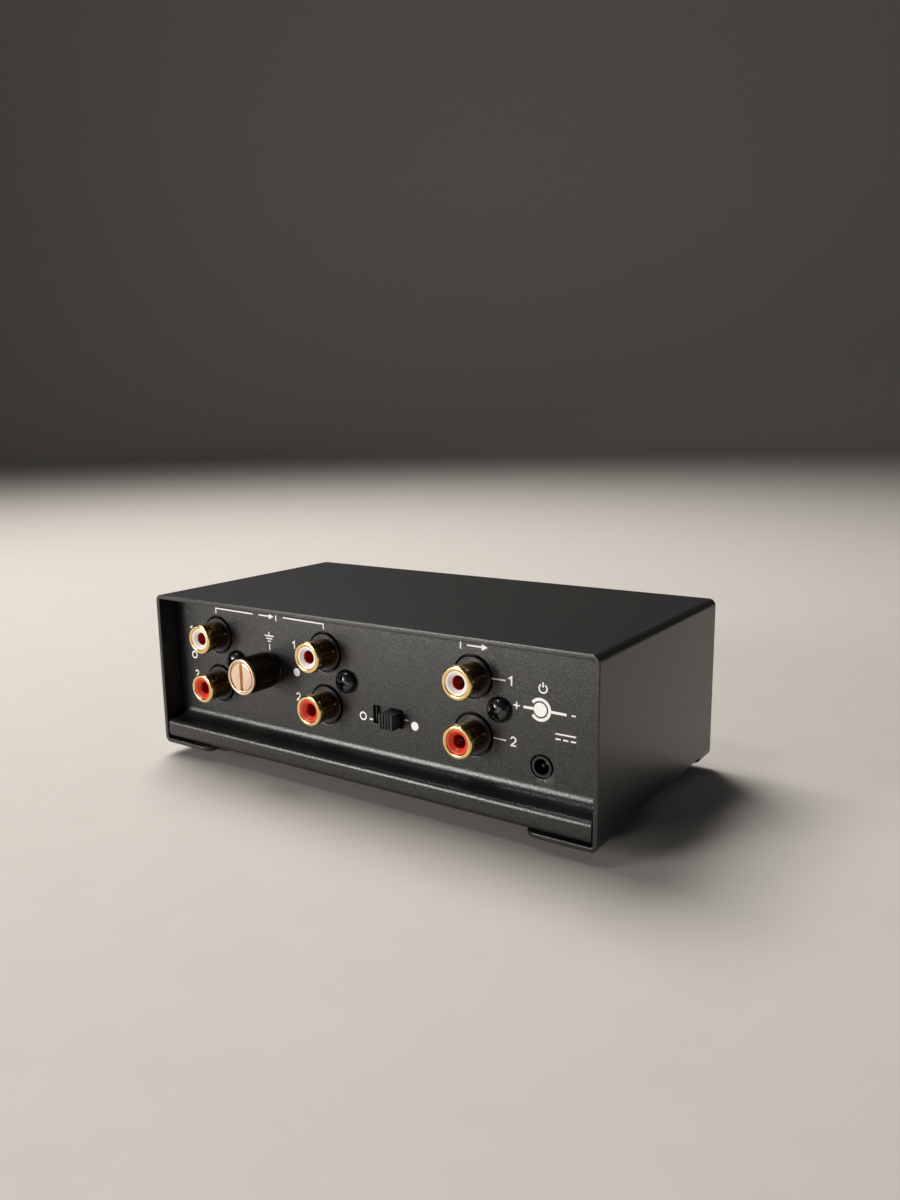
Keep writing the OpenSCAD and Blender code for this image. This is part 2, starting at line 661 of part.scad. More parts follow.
// Leaf that presses on the plug's outer sleeve, in the slot under the bore,
// and the contact's tip beside the socket's mouth
module inlet_spring() place() color([0.8, 0.78, 0.6]) {
    translate([inlet_x, 0, 0]) {
        block(1.6, panel_in + 4, socket_back_y() - 4.3, inlet_z - socket_d / 2 - 0.6, inlet_z - socket_d / 2 - 0.35);
        block(1.2, socket_back_y() - 4.7, socket_back_y() - 4.3, board_z - 1.5, inlet_z - socket_d / 2 - 0.4);
    }
    on_panel(inlet_x, inlet_z) rotate(42) translate([socket_d / 2 - 0.45, -0.35, -1.9]) cube([0.4, 0.7, 1.7]);
}

// ---- Power lamp on the front wall ----

module lamp_axis() translate([lamp_x, -panel_in, lamp_z]) rotate([-90, 0, 0]) children();

module power_lamp() place() lamp_axis() color([0.5, 0.65, 1]) turned(concat(
    [[0, -4.5], [lamp_flange_d / 2, -4.5], [lamp_flange_d / 2, -3.5], [lamp_d / 2, -3.5]],
    arc([0, sheet_t + lamp_out - lamp_d / 2], lamp_d / 2, 0, 90, 10)));

module lamp_holder() place() translate([lamp_x, 0, 0]) color([0.08, 0.08, 0.08])
    block(holder_w, board_y1 - holder_d + 0.6, -panel_in - 4.5, board_top, lamp_z + holder_w / 2);

// ---- Parts on the board ----

chip_xs = [-45, -20, 5, 30];
row_start = contact_tail_y + 1;

// Place between the jacks' tails (0) and the board's far edge (1)
function row_y(f) = row_start + f * (board_y1 - row_start);

// Eight-legged chips: body with a pin-one notch, legs that stand on the board
module amplifier_chips() place() color([0.08, 0.08, 0.09]) for (x = chip_xs) translate([x, row_y(0.25), board_top]) {
    difference() {
        translate([-4.9, -3.2, 0.6]) cube([9.8, 6.4, 3.2]);
        translate([-4.9, 0, 3]) cylinder(r = 0.9, h = 2);
    }
    for (i = [-1.5:1:1.5], s = [-1, 1]) {
        translate([i * 2.54 - 0.3, s * 3.45 - 0.27, 0]) cube([0.6, 0.54, 2.2]);
    }
}

// Rolled can with its crimped groove and sleeve edge
module can_capacitor(r, h) turned([[0, 0], [r, 0], [r, 1.2], [r - 0.3, 1.5], [r, 1.8],
    [r, h - 0.3], [r - 0.3, h], [0.8 * r, h], [0.8 * r, h - 0.2], [0, h - 0.2]]);

module electrolytic_capacitors() place() color([0.1, 0.1, 0.2]) {
    for (f = [0.15, 0.45, 0.75]) translate([49, row_y(f), board_top]) can_capacitor(5, 16);
    for (i = [0:6]) translate([-52 + 12 * i, row_y(0.48), board_top]) can_capacitor(3.15, 11);
}

module film_capacitors() place() color([0.6, 0.1, 0.08]) for (i = [0:6])
    translate([-54 + 12 * i, row_y(0.08) - 1.5, board_top]) cube([7.2, 3, 8]);

// Resistor lying on the board: body, end caps, bent leads
module resistor() {
    translate([0, 0, 1.25]) rotate([0, 90, 0]) {
        cylinder(r = 0.95, h = 6, center = true);
        for (s = [-1, 1]) translate([0, 0, s * 2.4]) cylinder(r = 1.15, h = 1.4, center = true);
        cylinder(r = 0.3, h = 9, center = true);
    }
    for (s = [-1, 1]) translate([s * 4.5, 0, 0]) cylinder(r = 0.3, h = 1.55);
}

module resistors() place() color([0.75, 0.6, 0.4])
    for (i = [0:6], f = [0.64, 0.73, 0.82]) translate([-50 + 12 * i, row_y(f), board_top]) resistor();

module voltage_regulator() place() translate([36, row_y(0.74), board_top]) color([0.1, 0.1, 0.1]) {
    translate([-5, -1.3, 3]) cube([10, 4.4, 9]);
    difference() {
        translate([-5, -1.3, 12]) cube([10, 1.3, 6.5]);
        translate([0, -2, 15.5]) rotate([-90, 0, 0]) cylinder(r = 1.8, h = 4);
    }
    for (i = [-1:1]) translate([i * 2.54 - 0.4, 0.5, 0]) cube([0.8, 0.5, 3 + eps]);
}

top_cover();
chassis();
cover_screws();
cover_nuts();
foot_connector_left();
foot_connector_right();
foot_front_left();
foot_front_right();
circuit_board();
board_spacers();
board_screws();
jack_body_left();
jack_body_middle();
jack_body_right();
shell_left_upper();
shell_left_lower();
shell_middle_upper();
shell_middle_lower();
shell_right_upper();
shell_right_lower();
insulator_left_upper();
insulator_left_lower();
insulator_middle_upper();
insulator_middle_lower();
insulator_right_upper();
insulator_right_lower();
contact_left_upper();
contact_left_lower();
contact_middle_upper();
contact_middle_lower();
contact_right_upper();
contact_right_lower();
pin_guides();
jack_ground_pins();
panel_screws();
ground_thumbscrew();
ground_washer();
ground_nut();
ground_lug();
switch_can();
switch_base();
switch_slider();
switch_pins();
inlet_socket();
inlet_centre_pin();
inlet_spring();
power_lamp();
lamp_holder();
amplifier_chips();
electrolytic_capacitors();
film_capacitors();
resistors();
voltage_regulator();
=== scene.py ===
import math

import bmesh
import bpy
import numpy as np
from bpy.props import FloatProperty, FloatVectorProperty, IntProperty, PointerProperty
from bpy.types import Operator, Panel, PropertyGroup
from mathutils import Matrix, Vector


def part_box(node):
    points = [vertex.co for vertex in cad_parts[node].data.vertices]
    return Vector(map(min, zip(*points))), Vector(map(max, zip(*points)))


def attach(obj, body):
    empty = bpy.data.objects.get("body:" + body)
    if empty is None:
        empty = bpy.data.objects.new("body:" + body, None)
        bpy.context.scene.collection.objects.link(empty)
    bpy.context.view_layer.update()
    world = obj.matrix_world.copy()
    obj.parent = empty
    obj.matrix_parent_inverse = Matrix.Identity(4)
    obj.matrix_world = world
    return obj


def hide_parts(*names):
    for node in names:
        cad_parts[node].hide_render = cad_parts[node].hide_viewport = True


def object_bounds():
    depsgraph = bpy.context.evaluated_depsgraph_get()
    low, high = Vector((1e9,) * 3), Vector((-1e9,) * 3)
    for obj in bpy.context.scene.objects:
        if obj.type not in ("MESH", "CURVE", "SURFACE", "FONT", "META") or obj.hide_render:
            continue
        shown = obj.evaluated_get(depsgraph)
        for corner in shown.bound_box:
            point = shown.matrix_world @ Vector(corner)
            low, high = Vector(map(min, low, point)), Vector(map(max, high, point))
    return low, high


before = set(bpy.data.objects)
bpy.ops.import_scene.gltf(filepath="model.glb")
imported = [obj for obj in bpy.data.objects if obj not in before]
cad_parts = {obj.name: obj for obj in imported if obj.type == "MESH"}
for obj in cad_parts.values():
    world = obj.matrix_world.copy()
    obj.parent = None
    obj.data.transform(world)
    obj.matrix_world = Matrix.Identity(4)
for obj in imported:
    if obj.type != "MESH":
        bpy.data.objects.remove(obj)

bl_info = {
    "name": "Phono preamp",
    "version": (1, 0, 0),
    "blender": (4, 5, 0),
    "location": "View3D > Sidebar > Phono preamp",
    "description": "Visual parts of a phono preamp in a two-piece sheet-steel case",
    "category": "Object",
}

# The case stands over the origin of its own drawing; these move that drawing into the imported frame.
COVER_LOW, COVER_HIGH = (np.array(c) * 1000 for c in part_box("top_cover"))
CAD_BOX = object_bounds()
SHIFT = np.array([0.0, (COVER_LOW[1] + COVER_HIGH[1]) / 2, COVER_LOW[2]])

SIDES = ("left", "middle", "right")
JACKS = [(side, row) for side in SIDES for row in ("upper", "lower")]
# Radius of the holes for the cover's screws, in the tabs and in the floor, mm
TAB_HOLE = 1.7
# Share of a screw head's height that is a straight rim
HEAD_RIM = 0.16


def middle(node):
    """Middle of a node's box, in millimetres, in the case's drawing."""
    low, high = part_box(node)
    return (np.array(low) + np.array(high)) * 500 - SHIFT


def span(node, axis):
    """Size of a node's box along one axis, in millimetres."""
    low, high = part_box(node)
    return (high[axis] - low[axis]) * 1000


def mm(name, text, default, high=500.0):
    """A length property, given in millimetres."""
    return FloatProperty(name=name, description=text, default=float(default), min=0.0, max=high, precision=3)


def tint(name, text, rgb):
    """A linear colour property."""
    return FloatVectorProperty(
        name=name, description=text, default=rgb, size=3, min=0, max=1, subtype="COLOR")


class CaseSizes(PropertyGroup):
    width: mm("Width", "Over the two side walls, mm", COVER_HIGH[0] - COVER_LOW[0])
    depth: mm("Depth", "From edge to edge of the cover, mm", COVER_HIGH[1] - COVER_LOW[1])
    height: mm("Height", "From the tabs' underside to the top, mm", COVER_HIGH[2] - COVER_LOW[2])
    sheet: mm("Sheet", "Thickness of the steel, mm", 1.2)
    bend: mm("Cover bend", "Outer radius of the cover's bends, mm", 1.8)
    edge: mm("Edge", "Radius of the paint over a cut edge, mm", 0.24)
    side_gap: mm("Side gap", "Between the chassis and the cover, mm", 0.3)
    tab_gap: mm("Tab gap", "Between the tabs and the floor, mm", 0.35)
    tab_length: mm("Tab length", "From the outside of the side wall, mm", 18.6)
    tab_width: mm("Tab width", "Along the depth, mm", 8.0)
    tab_corner: mm("Tab corner", "Radius of a tab's free corners, mm", 3.5)
    recess: mm("Panel recess", "Panel behind the cover's edge, mm", 6.1)
    lip_setback: mm("Lip setback", "Lip's face behind the cover's edge, mm", 0.2)
    nose: mm("Nose radius", "Outer radius of the lip's nose, mm", 1.5)
    cove: mm("Cove radius", "Hollow bend under the panel, mm", 2.8)
    heel: mm("Heel radius", "Bend from the lip into the floor, mm", 1.5)
    nose_height: mm("Nose height", "Height of the nose's centre, mm", 5.6)
    shelf_slope: FloatProperty(
        name="Shelf slope", description="Fall of the lip's shelf, degrees", default=6.0)


class ConnectorSizes(PropertyGroup):
    jack_hole: mm("Jack hole", "Diameter of the panel hole round a jack, mm", 10.8)
    screw_hole: mm("Screw hole", "Diameter of the hole of a jack screw, mm", 3.3)
    shell: mm("Barrel", "Diameter of a shell's barrel, mm", 7.6)
    shell_lip: mm("Rolled lip", "Diameter of a shell's rolled lip, mm", 8.3)
    shell_out: mm("Shell length", "Shell in front of the panel, mm", 7.2)
    shell_wall: mm("Shell wall", "Wall of a shell, mm", 0.6)
    mouth: mm("Mouth", "Diameter inside the rolled lip, mm", 6.0)
    boss_front: mm("Boss", "Housing's boss in front of the panel, mm", 0.45)
    lip_length: mm("Lip length", "Length of the rolled lip, mm", 1.5)
    contact_hole: mm("Contact hole", "Hole for a plug's centre pin, mm", 3.24)
    screw_head: mm("Screw head", "Diameter of a jack screw's head, mm", 6.2)
    screw_height: mm("Screw head height", "Of a jack screw, mm", 2.6)
    thumb: mm("Thumbscrew", "Diameter over the knurl, mm", 9.8)
    thumb_out: mm("Thumbscrew length", "In front of the panel, mm", 10.9)
    ridges: IntProperty(name="Ridges", description="Ridges round the knurl", default=56, min=12, max=90)
    shank: mm("Shank", "Diameter of the thumbscrew's shank, mm", 3.9)
    inlet_hole: mm("Inlet hole", "Hole in the panel for the inlet, mm", 5.8)
    window_w: mm("Window width", "Of the slide switch, mm", 9.3)
    window_h: mm("Window height", "Of the slide switch, mm", 4.8)
    lamp_hole: mm("Lamp hole", "In the far wall, mm", 3.3)


class Finishes(PropertyGroup):
    coat: tint("Powder coat", "Charcoal of cover and chassis", (0.008, 0.0074, 0.0068))
    coat_bare: tint("Coat's grains", "Tops of the coat's grains", (0.018, 0.017, 0.016))
    gilt: tint("Gilt", "Polished rims of the shells", (0.93, 0.66, 0.30))
    # The barrels' darker gilt is painted shade: a shaded copy of the rims' gilt, darkened to stand for the
    # dark surroundings that the barrels reflect.
    gilt_painted_shade: tint("Dark gilt", "Barrels of the shells", (0.30, 0.17, 0.065))
    white: tint("White", "White insulators", (0.94, 0.875, 0.84))
    red: tint("Red", "Red insulators", (0.72, 0.055, 0.022))
    guide: tint("Guide", "Guides inside the insulators", (0.62, 0.008, 0.012))
    thumb_end: tint("Thumbscrew end", "Turned end of the thumbscrew", (0.80, 0.60, 0.44))
    thumb_side: tint("Thumbscrew side", "Knurled side of the thumbscrew", (0.085, 0.066, 0.05))
    black_metal: tint("Black metal", "Screws and washer", (0.004, 0.004, 0.0045))
    black_plastic: tint("Black plastic", "Switch, inlet and housings", (0.007, 0.007, 0.0075))
    ink: tint("Ink", "Printed marks", (0.93, 0.915, 0.88))


class StageSettings(PropertyGroup):
    focal: FloatProperty(name="Focal length", description="In pixels of a 900 x 1200 frame", default=949.4)
    azimuth: FloatProperty(name="Azimuth", description="Degrees to the right of the panel", default=34.12)
    elevation: FloatProperty(name="Elevation", description="Degrees above the horizon", default=10.89)
    roll: FloatProperty(name="Roll", description="Degrees about the view's axis", default=-0.80)
    distance: mm("Distance", "From the point looked at, mm", 258.55, high=2000)
    look: FloatVectorProperty(
        name="Looks at", description="In the case's drawing, mm", default=(7.93, 0.0, 43.8), size=3)
    floor: tint("Floor", "Floor and backdrop", (0.54, 0.505, 0.46))
    front: FloatProperty(name="Front lamp", description="Watts", default=9.5, min=0)
    top: FloatProperty(name="Top lamp", description="Watts", default=14.0, min=0)
    glint: FloatProperty(name="Glint lamp", description="Watts", default=0.8, min=0)
    sky: FloatProperty(name="Sky", description="Strength of the surroundings", default=0.06, min=0)


# ---------------------------------------------------------------- shaping


def drawn(points):
    """Millimetres in the case's drawing to metres in the frame."""
    return (np.asarray(points, float).reshape(-1, 3) + SHIFT) / 1000


def linked(name, data):
    """New object of the scene for a mesh, curve, lamp or camera."""
    made = bpy.data.objects.new(name, data)
    bpy.context.scene.collection.objects.link(made)
    return made


def shade_smooth(mesh, smooth=True):
    """Shading of every face of a mesh, smooth or flat."""
    mesh.polygons.foreach_set("use_smooth", np.full(len(mesh.polygons), smooth))


def make_piece(name, points, faces, body, materials, replaces=(), face_material=None, smooth=True):
    """A named piece from points in the case's drawing and faces of three or four corners."""
    mesh = bpy.data.meshes.new(name)
    mesh.from_pydata(drawn(points).tolist(), [], [list(f) for f in faces])
    mesh.validate()
    for m in materials:
        mesh.materials.append(m)
    if face_material is not None:
        mesh.polygons.foreach_set("material_index", np.asarray(face_material, np.int32))
    piece = linked(name, mesh)
    bm = bmesh.new()
    bm.from_mesh(mesh)
    bmesh.ops.remove_doubles(bm, verts=bm.verts, dist=1e-7)
    bmesh.ops.recalc_face_normals(bm, faces=bm.faces)
    bm.to_mesh(mesh)
    bm.free()
    shade_smooth(mesh, smooth)
    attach(piece, body)
    if replaces:
        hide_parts(*replaces)
    return piece


def join_parts(parts):
    """Several (points, faces, material numbers) as one."""
    points, faces, numbers, start = [], [], [], 0
    for p, f, n in parts:
        p = np.asarray(p, float).reshape(-1, 3)
        points.append(p)
        faces += [[i + start for i in q] for q in f]
        numbers.append(np.asarray(n, np.int32))
        start += len(p)
    return np.concatenate(points), faces, np.concatenate(numbers)


def grid_faces(rows, cols, close_rows=False, close_cols=True):
    """Corners of the quads of a grid of rows x cols points, closed round either way."""
    i = np.arange(rows if close_rows else rows - 1)[:, None]
    j = np.arange(cols if close_cols else cols - 1)[None, :]
    i2, j2 = (i + 1) % rows, (j + 1) % cols
    quads = np.stack(np.broadcast_arrays(i * cols + j, i * cols + j2, i2 * cols + j2, i2 * cols + j), -1)
    return quads.reshape(-1, 4)


def rounded(corners, radii, steps):
    """Outline with each corner replaced by an arc of its radius: the arc's centre lies on the corner's
    bisector and the arc runs between the two points where it touches the sides."""
    corners = np.asarray(corners, float)
    radii = np.broadcast_to(radii, len(corners))
    out = []
    for k, (p, r) in enumerate(zip(corners, radii)):
        a, b = corners[k - 1] - p, corners[(k + 1) % len(corners)] - p
        la, lb = np.linalg.norm(a), np.linalg.norm(b)
        a, b = a / la, b / lb
        half = math.acos(np.clip(a @ b, -1, 1)) / 2
        if r <= 0 or half > math.pi / 2 - 1e-3:
            out.append(p[None])
            continue
        reach = min(r / math.tan(half), 0.49 * la, 0.49 * lb)
        r = reach * math.tan(half)
        centre = p + (a + b) / np.linalg.norm(a + b) * r / math.sin(half)
        s, e = p + a * reach - centre, p + b * reach - centre
        t = np.linspace(0, 1, steps + 1)[:, None]
        turn = math.acos(np.clip(s @ e / r / r, -1, 1))
        out.append(centre + (np.sin((1 - t) * turn) * s + np.sin(t * turn) * e) / math.sin(turn))
    return np.concatenate(out)


def lathe(profile, turns=96, closed=True, change=None, angles=None):
    """Turned surface: the profile's point (r, h) at angle a stands at (r cos a, r sin a, h).
    change(r, h, a) returns the radius and height grids with knurls, grooves or recesses in them."""
    profile = np.asarray(profile, float)
    a = np.linspace(0, 2 * math.pi, turns, endpoint=False) if angles is None else np.asarray(angles)
    r, h, a = np.broadcast_arrays(profile[:, :1], profile[:, 1:], a[None, :])
    if change is not None:
        r, h = change(r, h, a)
    points = np.stack([r * np.cos(a), r * np.sin(a), h], -1)
    return points.reshape(-1, 3), grid_faces(len(profile), a.shape[1], close_rows=closed)


def on_panel(points, x, z, panel_y, turn=0.0):
    """Local Z out of the connector panel: (x, y, z) goes to (X + x, panel - z, Z + y)."""
    p = np.asarray(points, float)
    c, s = math.cos(turn), math.sin(turn)
    return np.stack([x + c * p[:, 0] - s * p[:, 1], panel_y - p[:, 2], z + s * p[:, 0] + c * p[:, 1]], -1)


def turned_down(points, x, y, turn):
    """Local Z down from the tabs' underside at (x, y), spun round it first."""
    c, s = math.cos(turn), math.sin(turn)
    spun = np.asarray(points, float) @ np.array([[c, s, 0], [-s, c, 0], [0, 0, 1]])
    return spun * [1, -1, -1] + [x, y, 0]


def turn_from(angle, mark):
    """Signed turn from a mark to an angle, between minus pi and pi."""
    return (angle - mark + math.pi) % (2 * math.pi) - math.pi


def section_middles(profile, turns, faces):
    """Middle of each face of a turned surface, as (radius, height) on its profile."""
    grid = np.broadcast_to(profile[:, None, :], (len(profile), turns, 2)).reshape(-1, 2)
    return grid[faces].mean(1)


class Fold:
    """Path of the middle of a bent sheet, made of straight runs and arcs. place(u, w) gives the point
    at length u along the path and w off it to the left."""

    def __init__(self):
        self.runs, self.length, self.cuts = [], 0.0, []

    def line(self, a, b):
        """Adds a straight run from a to b."""
        a, b = np.asarray(a, float), np.asarray(b, float)
        n = np.linalg.norm(b - a)
        self.runs.append(("line", self.length, n, a, (b - a) / n))
        self.length += n
        return self

    def arc(self, centre, radius, start, end, steps=10):
        """Adds an arc between two angles in degrees, to be cut into so many steps."""
        n = abs(math.radians(end - start)) * radius
        sweep = (radius, math.radians(start), math.radians(end))
        self.runs.append(("arc", self.length, n, np.asarray(centre, float), sweep))
        self.cuts += list(self.length + n * np.arange(steps + 1) / steps)
        self.length += n
        return self

    def place(self, u, w):
        """Points at lengths u along the path and w off it."""
        out = np.zeros(np.shape(u) + (2,))
        for k, (kind, s, n, p, q) in enumerate(self.runs):
            on = (u >= s - (1e9 if k == 0 else 0)) & ((u < s + n) | (k == len(self.runs) - 1))
            t = u - s
            if kind == "line":
                side = np.array([-q[1], q[0]])
                spot = p + t[..., None] * q + w[..., None] * side
            else:
                r, a0, a1 = q
                sign = 1.0 if a1 > a0 else -1.0
                a = a0 + sign * t / r
                rr = r - sign * w
                spot = p + np.stack([rr * np.cos(a), rr * np.sin(a)], -1)
            out = np.where(on[..., None], spot, out)
        return out


def flat_plate(outline, holes, thickness, edge):
    """Flat plate with every cut edge rounded over: a filled outline with holes, given thickness and a
    quarter-round rim. Returns a bmesh in millimetres, its middle at height 0."""
    curve = bpy.data.curves.new("plate", "CURVE")
    curve.dimensions = "2D"
    curve.fill_mode = "BOTH"
    curve.extrude = thickness / 2 - edge
    curve.bevel_depth = edge
    curve.bevel_resolution = 2
    curve.offset = -edge
    for loop in [outline] + list(holes):
        spline = curve.splines.new("POLY")
        spline.points.add(len(loop) - 1)
        flat = np.concatenate([loop, np.zeros((len(loop), 1)), np.ones((len(loop), 1))], 1)
        spline.points.foreach_set("co", flat.astype(np.float32).ravel())
        spline.use_cyclic_u = True
    shape = linked("plate", curve)
    mesh = bpy.data.meshes.new_from_object(shape.evaluated_get(bpy.context.evaluated_depsgraph_get()))
    bm = bmesh.new()
    bm.from_mesh(mesh)
    bpy.data.objects.remove(shape)
    bpy.data.curves.remove(curve)
    bpy.data.meshes.remove(mesh)
    bmesh.ops.remove_doubles(bm, verts=bm.verts, dist=1e-4)
    return bm


def folded(name, outline, holes, thickness, edge, fold, to_case, material, node):
    """Bent sheet: the flat plate is cut at every bend line and each of its points carried along the
    fold, so that holes, rims and bends are those of one piece of sheet."""
    bm = flat_plate(outline, holes, thickness, edge)
    for u in fold.cuts:
        geometry = bm.verts[:] + bm.edges[:] + bm.faces[:]
        bmesh.ops.bisect_plane(bm, geom=geometry, dist=1e-5, plane_co=(u, 0, 0), plane_no=(1, 0, 0))
    mesh = bpy.data.meshes.new(name)
    bm.to_mesh(mesh)
    points = np.empty(3 * len(mesh.vertices), np.float32)
    mesh.vertices.foreach_get("co", points)
    points = points.reshape(-1, 3).astype(float)
    section = fold.place(points[:, 0], points[:, 2])
    moved = drawn(to_case(section, points[:, 1])).astype(np.float32)
    mesh.vertices.foreach_set("co", moved.ravel())
    bm.clear()
    bm.from_mesh(mesh)
    bmesh.ops.dissolve_degenerate(bm, edges=bm.edges, dist=1e-7)
    bmesh.ops.recalc_face_normals(bm, faces=bm.faces)
    bm.to_mesh(mesh)
    bm.free()
    mesh.materials.append(material)
    shade_smooth(mesh)
    piece = linked(name, mesh)
    weigh_normals(piece)
    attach(piece, "case")
    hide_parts(node)
    return piece


def weigh_normals(piece):
    """Flat faces keep their own normal and the small rounds take up the turn."""
    weigh = piece.modifiers.new("weigh", "WEIGHTED_NORMAL")
    weigh.mode = "FACE_AREA"
    weigh.weight = 100
    weigh.keep_sharp = False


def soften(node, width, material, body="case", steps=2):
    """Moulded or stamped copy of a node with its edges rounded over."""
    sharpest = 34
    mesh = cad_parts[node].data.copy()
    mesh.name = node + "_soft"
    mesh.materials.clear()
    mesh.materials.append(material)
    mesh.polygons.foreach_set("material_index", np.zeros(len(mesh.polygons), np.int32))
    bm = bmesh.new()
    bm.from_mesh(mesh)
    bmesh.ops.remove_doubles(bm, verts=bm.verts, dist=1e-6)
    bmesh.ops.dissolve_limit(bm, angle_limit=math.radians(0.6), verts=bm.verts, edges=bm.edges)
    bmesh.ops.recalc_face_normals(bm, faces=bm.faces)
    bm.to_mesh(mesh)
    bm.free()
    if mesh.has_custom_normals:
        mesh.attributes.remove(mesh.attributes["custom_normal"])
    shade_smooth(mesh)
    piece = linked(node + "_soft", mesh)
    bevel = piece.modifiers.new("round", "BEVEL")
    bevel.width = width / 1000
    bevel.segments = steps
    bevel.limit_method = "ANGLE"
    bevel.angle_limit = math.radians(sharpest)
    bevel.use_clamp_overlap = True
    weigh_normals(piece)
    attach(piece, body)
    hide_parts(node)
    return piece


# ---------------------------------------------------------------- finishes


def new_group(name, inputs, outputs):
    """Shader node group with named value or colour sockets."""
    group = bpy.data.node_groups.new(name, "ShaderNodeTree")
    for label, kind, value in inputs:
        socket = group.interface.new_socket(name=label, in_out="INPUT", socket_type=kind)
        if value is not None:
            socket.default_value = value
    for label, kind in outputs:
        group.interface.new_socket(name=label, in_out="OUTPUT", socket_type=kind)
    return group, group.nodes.new("NodeGroupInput"), group.nodes.new("NodeGroupOutput")


def fill(made, values):
    """Sets a node's sockets, by name or number."""
    for socket, value in values.items():
        made.inputs[socket].default_value = value


def node(tree, kind, values=(), **settings):
    """New node with its settings and the values of its sockets."""
    made = tree.nodes.new(kind)
    for key, value in settings.items():
        setattr(made, key, value)
    fill(made, dict(values))
    return made


def ramp(tree, source, low, high, to_low=0.0, to_high=1.0):
    """A value carried from one range to another and kept inside it."""
    made = node(tree, "ShaderNodeMapRange", {1: low, 2: high, 3: to_low, 4: to_high}, clamp=True)
    tree.links.new(source, made.inputs[0])
    return made.outputs[0]


def noise(tree, coords, scale, detail, rough):
    """Noise between nought and one."""
    made = node(tree, "ShaderNodeTexNoise", {"Scale": scale, "Detail": detail, "Roughness": rough})
    tree.links.new(coords, made.inputs["Vector"])
    return made.outputs["Fac"]


def maths(tree, operation, a, b=None):
    """Result of one arithmetic step on numbers or sockets."""
    made = node(tree, "ShaderNodeMath", operation=operation)
    for k, v in enumerate((a, b)):
        if v is None:
            continue
        if isinstance(v, (int, float)):
            made.inputs[k].default_value = v
        else:
            tree.links.new(v, made.inputs[k])
    return made.outputs[0]


def mix(tree, factor, a, b):
    """Mix of two colours."""
    made = node(tree, "ShaderNodeMix", data_type="RGBA")
    tree.links.new(factor, made.inputs["Factor"])
    for socket, v in ((made.inputs[6], a), (made.inputs[7], b)):
        if isinstance(v, (tuple, list)):
            socket.default_value = (*v[:3], 1)
        else:
            tree.links.new(v, socket)
    return made.outputs[2]


def drifting(tree, source, colour, share, low, high):
    """A colour that goes down and up by a share of itself as the source goes from low to high."""
    c = np.array(colour)
    paler = tuple(np.minimum(c * (1 + share), 1))
    return mix(tree, ramp(tree, source, low, high), tuple(c * (1 - share)), paler)


def grain_group():
    """Fine orange-peel grain of powder coat or moulded plastic: Height for a bump, Fleck for the bright
    grains, Drift for slow changes of tone."""
    group, inp, out = new_group(
        "fine_grain",
        [("Vector", "NodeSocketVector", None), ("Scale", "NodeSocketFloat", 3000.0)],
        [("Height", "NodeSocketFloat"), ("Fleck", "NodeSocketFloat"), ("Drift", "NodeSocketFloat")],
    )
    scaled = node(group, "ShaderNodeVectorMath", operation="SCALE")
    group.links.new(inp.outputs["Vector"], scaled.inputs[0])
    group.links.new(inp.outputs["Scale"], scaled.inputs["Scale"])
    coarse = noise(group, scaled.outputs[0], 1.0, 2.0, 0.55)
    fine = noise(group, scaled.outputs[0], 2.7, 1.0, 0.5)
    height = maths(group, "ADD", maths(group, "MULTIPLY", coarse, 0.65), maths(group, "MULTIPLY", fine, 0.35))
    group.links.new(height, out.inputs["Height"])
    group.links.new(ramp(group, height, 0.49, 0.61), out.inputs["Fleck"])
    group.links.new(noise(group, scaled.outputs[0], 0.012, 3.0, 0.6), out.inputs["Drift"])
    return group


def brushed_group():
    """Fine lines drawn along one axis, as turning or plating leaves them: Lines and Smudge."""
    group, inp, out = new_group(
        "fine_lines",
        [("Vector", "NodeSocketVector", None), ("Stretch", "NodeSocketVector", (1.0, 1.0, 1.0))],
        [("Lines", "NodeSocketFloat"), ("Smudge", "NodeSocketFloat")],
    )
    times = node(group, "ShaderNodeVectorMath", operation="MULTIPLY")
    group.links.new(inp.outputs["Vector"], times.inputs[0])
    group.links.new(inp.outputs["Stretch"], times.inputs[1])
    group.links.new(noise(group, times.outputs[0], 1.0, 2.0, 0.6), out.inputs["Lines"])
    group.links.new(noise(group, inp.outputs["Vector"], 450.0, 3.0, 0.6), out.inputs["Smudge"])
    return group


def rings_group():
    """Rings left by a lathe tool round an axis that runs along Y through Centre: Rings."""
    group, inp, out = new_group(
        "turning_rings",
        [("Vector", "NodeSocketVector", None), ("Centre", "NodeSocketVector", (0.0, 0.0, 0.0)),
         ("Pitch", "NodeSocketFloat", 0.0001)],
        [("Rings", "NodeSocketFloat")],
    )
    away = node(group, "ShaderNodeVectorMath", operation="SUBTRACT")
    group.links.new(inp.outputs["Vector"], away.inputs[0])
    group.links.new(inp.outputs["Centre"], away.inputs[1])
    parts = node(group, "ShaderNodeSeparateXYZ")
    group.links.new(away.outputs[0], parts.inputs[0])
    xx = maths(group, "MULTIPLY", parts.outputs[0], parts.outputs[0])
    zz = maths(group, "MULTIPLY", parts.outputs[2], parts.outputs[2])
    radius = maths(group, "SQRT", maths(group, "ADD", xx, zz))
    phase = maths(group, "MULTIPLY", maths(group, "DIVIDE", radius, inp.outputs["Pitch"]), 2 * math.pi)
    wave = maths(group, "MULTIPLY", maths(group, "SINE", phase), 0.5)
    group.links.new(maths(group, "ADD", wave, 0.5), out.inputs["Rings"])
    return group


GROUPS = {}


def group_node(tree, name, vector, **values):
    """A shared group placed in a material with its own values."""
    makers = {"fine_grain": grain_group, "fine_lines": brushed_group, "turning_rings": rings_group}
    if name not in GROUPS:
        GROUPS[name] = makers[name]()
    made = tree.nodes.new("ShaderNodeGroup")
    made.node_tree = GROUPS[name]
    tree.links.new(vector, made.inputs["Vector"])
    fill(made, values)
    return made


